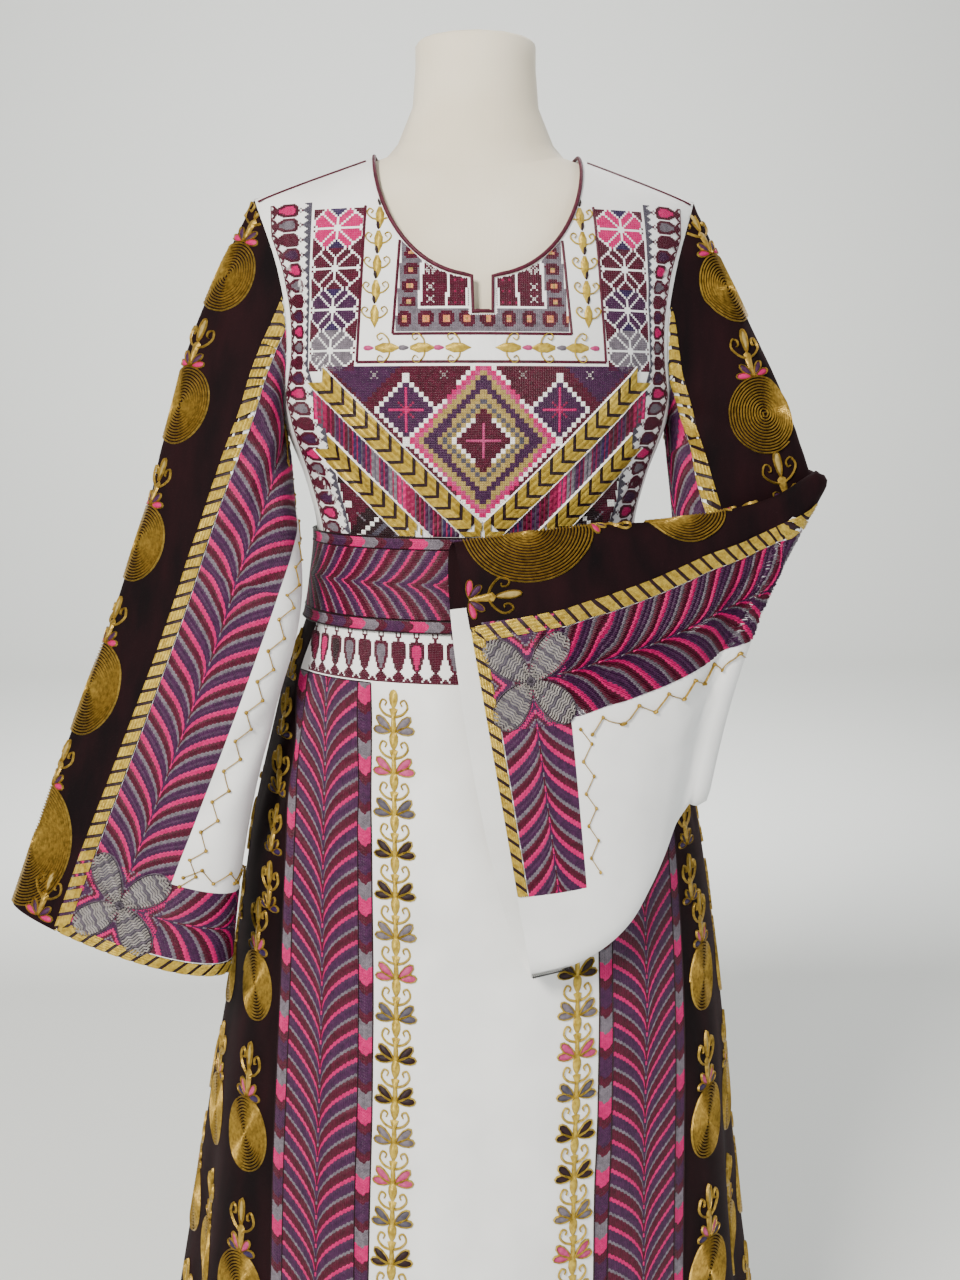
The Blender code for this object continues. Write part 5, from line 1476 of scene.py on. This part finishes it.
# roundels of each velvet strip: across and down it, and the radius
roundelRows = dict(
    hanging=((0.0, 0.068, 0.034), (0.0, 0.200, 0.036), (0.0, 0.340, 0.036), (0.0, 0.490, 0.044),
             (0.0, 0.655, 0.058)),
    upper=((0.0, 0.080, 0.034), (0.0, 0.210, 0.036)),
    forearm=((0.002, 0.130, 0.040), (0.004, 0.288, 0.056)),
)
# where the cuffs start, metres round from the top fold on each sleeve, and the most the folded one reaches
cuffStarts = ((1, "front", 0.078, 0.071), (-1, "back", 0.078, 0.088))
foldedReach = 0.245


def addSleeveWork():
    length, elbow, end = (lines["length"] for lines in (hangingLines, upperLines, forearmLines))
    for side, name in ((1, "front"), (-1, "back")):
        addSleeveStrip("hanging_" + name, hangingLines, side, length + 0.05, "hanging_sleeve_gold_" + name)
        addSleeveStrip("upper_" + name, upperLines, side, elbow + 0.02, "folded_sleeve_gold_" + name)
        addSleeveStrip("forearm_" + name, forearmLines, side, end + 0.05, seat=strip["forearmSeat"])
    addRoundels("hanging_roundels", hangingLines, roundelRows["hanging"],
                [(0.045, length - 0.004, 1.0), (-0.045, length - 0.004, 1.0)])
    addRoundels("upper_roundels", upperLines, roundelRows["upper"], [(0.0, 0.300, 1.1)])
    addRoundels("forearm_roundels", forearmLines, roundelRows["forearm"],
                [(-0.060, end - 0.006, 1.0), (0.045, end - 0.006, 1.0)])
    for side, name, hangingStart, foldedStart in cuffStarts:
        addCuff("hanging_cuff_" + name, hanging, side, hangingStart, "hanging_sleeve_hem_" + name)
        addCuff("folded_cuff_" + name, folded, side, foldedStart, "folded_sleeve_hem_" + name, foldedReach)
    addOverlock()


# charts of the chest: star, lying jar, white flower and small cross
starRows = ("............", "..pppppppp.B", ".p.pppppppp.", ".pp.ppppppp.", ".ppp.pppppp.", ".pppp.pppp.B",
            "D.pppp.pp.BB", "DD.pppp..BBB", "DDD.ppp.BBBB", "DDDD.p.BBBBB")
candleRows = ("gggggggggggg", "gggggggggggg", "gg.gggggg.gg", "g...gggg...g", ".....gg.....", ".....BB.....",
              "....B..B....", ".....BB.....", "..BBBBBBBB..", ".BBBBBBBBBB.", "BBBBJJJJBBB.", "BBJJJJJJJBB.",
              "BBJJJJJJJBB.", "BBJJJJJJJBB.", "BBJJJJJJJBB.", "BBJJJJJJJBB.", "BBJJJJJJJBB.", "BBBJJJJJBBB.",
              "BBBJJJJJBBB.", ".BBBJJJBBB..", ".BBBJJJBBB..", "..BBJJJBB...", "..BBBBBBB...", "...BBBBB....",
              "..BBBBBBB...", ".BBBBBBBBB..", "BBBBBBBBBBB.", "BB.BBBBB.BB.", "B...BBB...BB", "BBBBBBBBBBBB")
flowerRows = ("...w.w...", "..ww.ww..", ".www.www.", "..w.w.w..", "...w.w...", "..w.w.w..", ".www.www.",
              "..ww.ww..", "...w.w...")
smallRows = ("w..w", ".ww.", ".ww.", "w..w")


def armholeAngle(z):
    angle, height = armhole(np.linspace(0, math.pi, 200), 1)
    order = np.argsort(height)
    return np.interp(z, height[order], angle[order])


def between(side, inner, outer, half):
    # strip between two edges, each an angle as a function of the height
    def place(u, v, lift):
        first, last = inner(v), outer(v)
        return onBody(side * (first + (last - first) * (0.5 + u / half / 2)), v, lift)
    return place


# edges of the counted columns: heights and distances from the middle
starHeights, starEdges = (1.246, 1.392), dict(inner=(0.1150, 0.1020), outer=(0.1600, 0.1535))
candleEdge = ((1.09, 0.124), (1.15, 0.137), (1.20, 0.147), (1.246, 0.1610), (1.392, 0.1560))


def starEdge(name):
    return lambda z: angleAt(np.interp(z, starHeights, starEdges[name]), z)


def candleInner(z):
    return angleAt(np.interp(z, *zip(*candleEdge)), z)


def candleOuter(z):
    return np.minimum(armholeAngle(z) - 0.055, candleInner(z) + 0.36)


# counted columns at both sides of the yoke: stitch size, top and threads
stars = dict(cell=0.00196, top=1.3905, pitch=19, threads=("pink", "burgundy", "purple", "grey"))
jars = dict(cell=0.00118, top=1.398, count=22, threads=("pink", "grey", "burgundy", "purple"))


def addColumns():
    lying = ["".join(row[k] for row in candleRows[::-1]) for k in range(12)]
    for side, name in ((-1, "left"), (1, "right")):
        # four stars, one under another, with half diamonds between them
        work = newWork()
        cell = stars["cell"]
        for k, tone in enumerate(stars["threads"]):
            top = stars["top"] - k * stars["pitch"] * cell
            names = dict(p=tone, D=tone if k % 2 else "violet", B="burgundy")
            for rows, at in ((starRows[::-1], top), (starRows[1:], top - 10 * cell)):
                addChart(work, rows, 0.0, at, cell, names, 0.97, 0.0008)
                addChart(work, [row[1:] for row in rows], -11 * cell, at, cell, names, 0.97, 0.0008, True)
        place = between(side, starEdge("inner"), starEdge("outer"), 12 * cell)
        finishWork("star_column_" + name, work, place)
        # jars lying down, feet outward
        work = newWork()
        cell = jars["cell"]
        for k in range(jars["count"]):
            names = dict(B="burgundy", g="slate", J=jars["threads"][k % 4])
            addChart(work, lying, -15 * cell, jars["top"] - k * 12 * cell, cell, names, 0.98, 0.0008, True)
        finishWork("candle_column_" + name, work, between(side, candleInner, candleOuter, 15 * cell))


def neckClear(x, z, gap=0.0004):
    # true where a place on the chest is clear of the neckline and its notch
    t = np.clip(np.abs(x) / cut["neckX"], 0, 1)
    turn = np.arccos(np.clip(t ** (1 / 0.92), 0, 1))
    low = cut["neckZ"] - cut["neckDepth"] * np.sin(turn)
    notch = (np.abs(x) < cut["notchHalf"] + gap) & (z > cut["notchZ"] - gap)
    return (z < low - gap * (0.8 + 0.5 * t)) & ~notch


def addLine(work, corners, wide=0.0026, name="burgundy", high=0.0011):
    # straight stitched lines through a few corners
    corners = np.array(corners, float)
    for a, b in zip(corners[:-1], corners[1:]):
        count = max(2, int(np.hypot(*(b - a)) / 0.004))
        addRibbon(work, a + (b - a) * np.linspace(0, 1, count)[:, None], wide, name, high)


def yokeFleur(work, u, v, turn, bud, size):
    # one step of the yoke's vine: a gold stem with a bud and two curls
    def put(path, flip=1):
        return moved(path, u, v, turn, size, flip)
    addFan(work, put([(0, -0.004), (0.0030, 0.002), (0.0034, 0.008), (0.0012, 0.0135), (-0.0012, 0.0135),
                      (-0.0034, 0.008), (-0.0030, 0.002)]), "brightGold", 0.0022)
    addFan(work, put(leafEdge((0, 0.0215), (0, 0.0140), 0.0022, 8)), bud, 0.0020)
    curl = curve((0.0018, 0.0035), (0.0060, 0.0045), (0.0098, 0.0085), (0.0080, 0.0120), (0.0050, 0.0105),
                 (0.0066, 0.0082), count=12)
    for flip in (-1, 1):
        addRibbon(work, put(curl, flip), np.linspace(0.0018, 0.0010, 12), "brightGold", 0.0019)


# the square yoke: stitched lines, then the counted ring and panels inside them
yoke = dict(
    lines=(((0.1055, 1.392), (0.1145, 1.2495), (0, 1.2495)),
           ((0.0725, 1.380), (0.0815, 1.2745), (0, 1.2745))),
    cell=0.00205, low=1.2775, slant=0.085, edge=0.0790, ring=0.0590, ringTop=1.2985,
    ringMiddle=0.0690, footMiddle=1.2880, square=0.0188, squareUp=0.0150, firstSquare=1.3100,
    fleurs=("rose", "grey", "rose", "rose", "grey", "rose"), fleurZ=1.2620, fleurStep=0.0318,
    fleurRise=0.0225,
)


def addYoke():
    # burgundy lines, gold vine and counted panels round the neck
    work = newWork()
    for side in (-1, 1):
        for line in yoke["lines"]:
            addLine(work, [(side * x, z) for x, z in line])
    finishWork("yoke_lines", work, onChest, keep=neckClear)
    cell, low, ringX, ringZ = yoke["cell"], yoke["low"], yoke["ring"], yoke["ringTop"]
    x, z = lattice(np.arange(-40, 41) * cell, low + np.arange(58) * cell)
    a = np.abs(x) + (z - low) * yoke["slant"]
    inside = (a < yoke["edge"]) & neckClear(x, z)
    ring = (a > ringX) | (z < ringZ)
    # white lines left free between the ring and the panels
    white = (np.abs(a - ringX) < 0.0015) & (z > ringZ - 0.001)
    white |= (np.abs(z - ringZ) < 0.0011) & (a < ringX)
    white |= ((np.abs(a - 0.0345) < 0.0012) | (np.abs(a - 0.0165) < 0.0010)) & (z > ringZ)
    # squares with a light heart, set in the grey ground of the ring
    pitch, pitchUp = yoke["square"], yoke["squareUp"]
    su = np.where(z < ringZ, (x + pitch / 2 * 8.5) / pitch % 1 - 0.5, (a - yoke["ringMiddle"]) / pitch)
    sv = np.where(z < ringZ, (z - yoke["footMiddle"]) / pitch, (z - yoke["firstSquare"]) / pitchUp % 1 - 0.5)
    away = np.maximum(np.abs(su), np.abs(sv))
    square = (away < 0.36) & (np.abs(su) + np.abs(sv) < 0.56)
    dots = (np.floor(z / cell) % 5 == 0) & (np.floor(x / cell) % 3 == 0)
    thread = pickThreads(x.shape, "burgundy", (
        ((a > 0.0180) & (a < 0.0330) & dots, "darkPink"), (ring, "grey"), (ring & square, "burgundy"),
        (ring & (away < 0.14), "orange"), (ring & (away < 0.07), "tan"),
    ))
    kept = inside & ~white
    work = newWork()
    addCells(work, np.stack([x, z], 1)[kept], thread[kept], cell, 0.97, 0.0008)
    for side in (-1, 1):
        addChart(work, flowerRows, side * 0.0465 - 4.5 * 0.0016, 1.3420, 0.0016, dict(w="white"), 0.9, 0.0013)
        for top in (1.3200, 1.3090):
            addChart(work, smallRows, side * 0.0470 - 2 * 0.0018, top, 0.0018, dict(w="white"), 0.9, 0.0013)
    finishWork("yoke_panels", work, onChest, keep=neckClear)
    work = newWork()
    for k, bud in enumerate(yoke["fleurs"]):
        turn = math.pi / 2 if k < 3 else -math.pi / 2
        yokeFleur(work, (k - 2.5) * yoke["fleurStep"], yoke["fleurZ"], turn, bud, 1.35)
    for side in (-1, 1):
        for k in range(1, 6):
            z = yoke["fleurZ"] + k * yoke["fleurRise"]
            yokeFleur(work, side * (0.0985 - (z - 1.2735) * 0.062), z, 0.0, "darkBurgundy", 1.2)
    finishWork("yoke_vine", work, onChest, sharp=60, keep=neckClear)


# gold bands of the chest: height of the centre line at the middle, slope and half width
bandSlopes = dict(inner=(1.0877, 0.979, 0.0100), outer=(1.0275, 1.000, 0.0098))


def bandHeight(name, x, offset=0.0):
    # height of a gold band's centre line, or of a line some widths above it
    foot, slope, half = bandSlopes[name]
    return foot + slope * x + offset * half * math.hypot(1, slope)


def stepped(across, up, wide, tall, cell):
    # diamond distance on blocks of two stitches, which gives stepped edges
    across, up = (np.floor(np.abs(value) / cell / 2 + 0.25) * 2 * cell for value in (across, up))
    return across / wide + up / tall


# counted fields of the chest: the medallion with its stars and corners, and the field down to the belt
medallion = dict(
    cell=0.00212, top=1.2465, centre=1.1790, star=(0.0700, 1.2070), corner=0.1080, foot=1.0800,
    lowerStar=(0.125, 1.118),
    rings=((1.05, "white"), (0.99, "pink"), (0.93, "rose"), (0.87, "tan"), (0.80, "purple"), (0.735, "white"),
           (0.69, "purple"), (0.62, "tan"), (0.53, "slate"), (0.48, "tan"), (0.43, "white"),
           (0.37, "burgundy")),
    lowerRings=((1.15, "white"), (1.0, "darkBurgundy"), (0.60, "burgundy"), (0.10, "white")),
)


def addMedallion():
    cell, top, centre, (starX, starZ) = (medallion[name] for name in ("cell", "top", "centre", "star"))
    # the medallion under the yoke, above the inner gold band
    x, z = lattice(np.arange(-72, 73) * cell, centre + np.arange(-40, 33) * cell)
    a = np.abs(x)
    field = (z > bandHeight("inner", a, 1.1)) & (z < top)
    m = stepped(x, z - centre, 0.0680, 0.0690, cell)
    star = stepped(a - starX, z - starZ, 0.0275, 0.0300, cell)
    corner = stepped(a - medallion["corner"], z - top, 0.0300, 0.0330, cell)
    thin = cell * 0.6
    cross = (np.abs(a - starX) < thin) | (np.abs(z - starZ) < thin)
    diagonal = np.abs(np.abs(a - starX) - np.abs(z - starZ)) < thin
    light = (np.abs(x) < thin) | (np.abs(z - centre) < thin)
    dots = (np.round(x / cell) + np.round((z - centre) / cell)) % 2 == 0
    parts = [(corner < 1, "purple"), (star < 1.0, "white"), (star < 0.84, "purple"),
             ((star < 0.60) & cross, "pink"), ((star < 0.50) & diagonal & ~cross, "darkPink")]
    parts += [(m < edge, name) for edge, name in medallion["rings"]]
    parts += [((m < 0.24) & light, "rose"), ((m < 0.735) & (m > 0.69) & dots, "purple")]
    thread = pickThreads(x.shape, "burgundy", parts)
    work = newWork()
    addCells(work, np.stack([x, z], 1)[field], thread[field], cell, 0.975, 0.0009)
    for flip in (-1, 1):
        for at in (0.0355, 0.0985):
            addChart(work, smallRows, flip * at - 2 * 0.0019, 1.2415, 0.0019, dict(w="silver"), 0.9, 0.0014)
    # field below the bands, down to the belt
    starX, starZ = medallion["lowerStar"]
    x, z = lattice(np.arange(-92, 93) * cell, medallion["foot"] + np.arange(72) * cell)
    a = np.abs(x)
    lower = (z < bandHeight("outer", a, -1.05)) & (a < np.interp(z, *zip(*candleEdge)) - 0.001) & (z < 1.243)
    m = stepped(a - starX, z - starZ, 0.034, 0.036, cell)
    diagonal = np.abs(np.abs(a - starX) - np.abs(z - starZ)) < thin
    parts = [(np.floor((a * 0.9 + z) / 0.0064) % 3 == 1, "slate")]
    parts += [(m < edge, name) for edge, name in medallion["lowerRings"]]
    parts += [((m < 0.85) & (m > 0.3) & diagonal, "grey")]
    thread = pickThreads(x.shape, "darkBurgundy", parts)
    addCells(work, np.stack([x, z], 1)[lower], thread[lower], cell, 0.975, 0.0009)
    finishWork("medallion_field", work, onChest)


# paired satin leaves of the gold bands, and the upright stitches between the two bands
chevrons = dict(low=1.0895, step=0.00135, rows=8, pitch=0.0150, lean=0.0095,
                reach=dict(inner=(0.0, 0.1540), outer=(0.0500, 0.1500)))
satin = dict(first=0.0215, last=0.1560, pitch=0.0041, stitch=0.006,
             threads=("purple", "violet", "burgundy", "purple", "burgundy",
                      "darkPink", "pink", "grey", "purple", "grey"))


def addChevrons():
    # two padded gold bands that run down to the belt, each of paired satin leaves
    work = newWork()
    low, step, lean = chevrons["low"], chevrons["step"], chevrons["lean"]
    for name, (first, last) in chevrons["reach"].items():
        foot, slope, half = bandSlopes[name]
        ahead = np.array([1, slope]) / math.hypot(1, slope)
        side = np.array([-ahead[1], ahead[0]])
        start = np.array([first, foot + slope * first])
        length = (last - first) * math.hypot(1, slope)
        tiles = []
        for s in np.arange(-0.030, length - lean, chevrons["pitch"]):
            for arm in (-1, 1):
                for n in range(chevrons["rows"]):
                    t = s + n * step
                    a, d = start + ahead * t, start + ahead * (t + step)
                    b, c = a + ahead * lean + side * half * arm, d + ahead * lean + side * half * arm
                    tiles += [[a, (a + b) / 2, (c + d) / 2, d], [(a + b) / 2, b, c, (c + d) / 2]]
        tiles = np.array(tiles)
        tiles = tiles[(tiles[..., 1].min(axis=1) > low) & (tiles[..., 0].min(axis=1) > 0.0003)]
        line = start + ahead * np.linspace(-0.030, length, 60)[:, None]
        x, z = line.T
        ground = line[(z > low + half * 0.72) & (x > half * 0.6) & (x < last - 0.006)]
        for flip in (-1, 1):
            mirror = np.array([flip, 1])
            addTiles(work, tiles * mirror, kind("brightGold"), 0.0024, 0.0017)
            for share in (-0.75, -0.25, 0.25, 0.75):
                path = (ground + side * half * share) * mirror
                addRibbon(work, path, half / 2, "darkBurgundy", 0.0011, 0.0008)
            for arm in (-1, 1):
                edge = line + side * half * arm * 1.06
                edge = edge[(edge[:, 0] > 0) & (edge[:, 1] > low)]
                addRibbon(work, edge * mirror, 0.0019, "white", 0.0021)
    finishWork("chest_gold_bands", work, onChest)


def addSatinBand():
    # upright satin stitches between the gold bands: a darker ground and a narrower rib on it
    work = newWork()
    pitch, colours = satin["pitch"], satin["threads"]
    for k, a in enumerate(np.arange(satin["first"], satin["last"], pitch)):
        high = bandHeight("inner", a + 0.002, -1.1)
        under = max(chevrons["low"], bandHeight("outer", a + 0.002, 1.1))
        if high - under <= 0.003:
            continue
        edges = np.linspace(under, high, max(1, int((high - under) / satin["stitch"])) + 1)
        layers = ((pitch, "darkPink" if k % 3 else "slate", 0.0008),
                  (pitch - 0.0009, colours[(k // 2) % len(colours)], 0.0013))
        for flip in (-1, 1):
            for wide, tone, rise in layers:
                b = a + wide
                tiles = np.array([[(flip * a, p), (flip * b, p), (flip * b, q), (flip * a, q)]
                                  for p, q in zip(edges[:-1], edges[1:])])
                addTiles(work, tiles, kind(tone), rise)
    finishWork("chest_satin_band", work, onChest)


def addShoulderLines():
    # burgundy stitching along both shoulder seams
    work = newWork()
    x = np.linspace(cut["neckX"] + 0.006, cut["shoulderX"] - 0.004, 30)
    for side in (-1, 1):
        path = np.stack([side * x, shoulderHeight(x) - 0.004], 1)
        addRibbon(work, path, 0.0022, "burgundy", 0.0012)
    finishWork("shoulder_lines", work, onChest)


addCamera()
addStudio()
finishForm()
addBody()
addBinding()
addSleeve("hanging_sleeve", [hangingLines], -1)
addSleeve("folded_sleeve", [upperLines, forearmLines], 1)
print("cloth made")
addBandsAndBelt()
addHipBand()
addVines()
addSides()
print("skirt and belt embroidered")
addSleeveWork()
print("sleeves embroidered")
addColumns()
addYoke()
addMedallion()
addChevrons()
addSatinBand()
addShoulderLines()
print("chest embroidered")
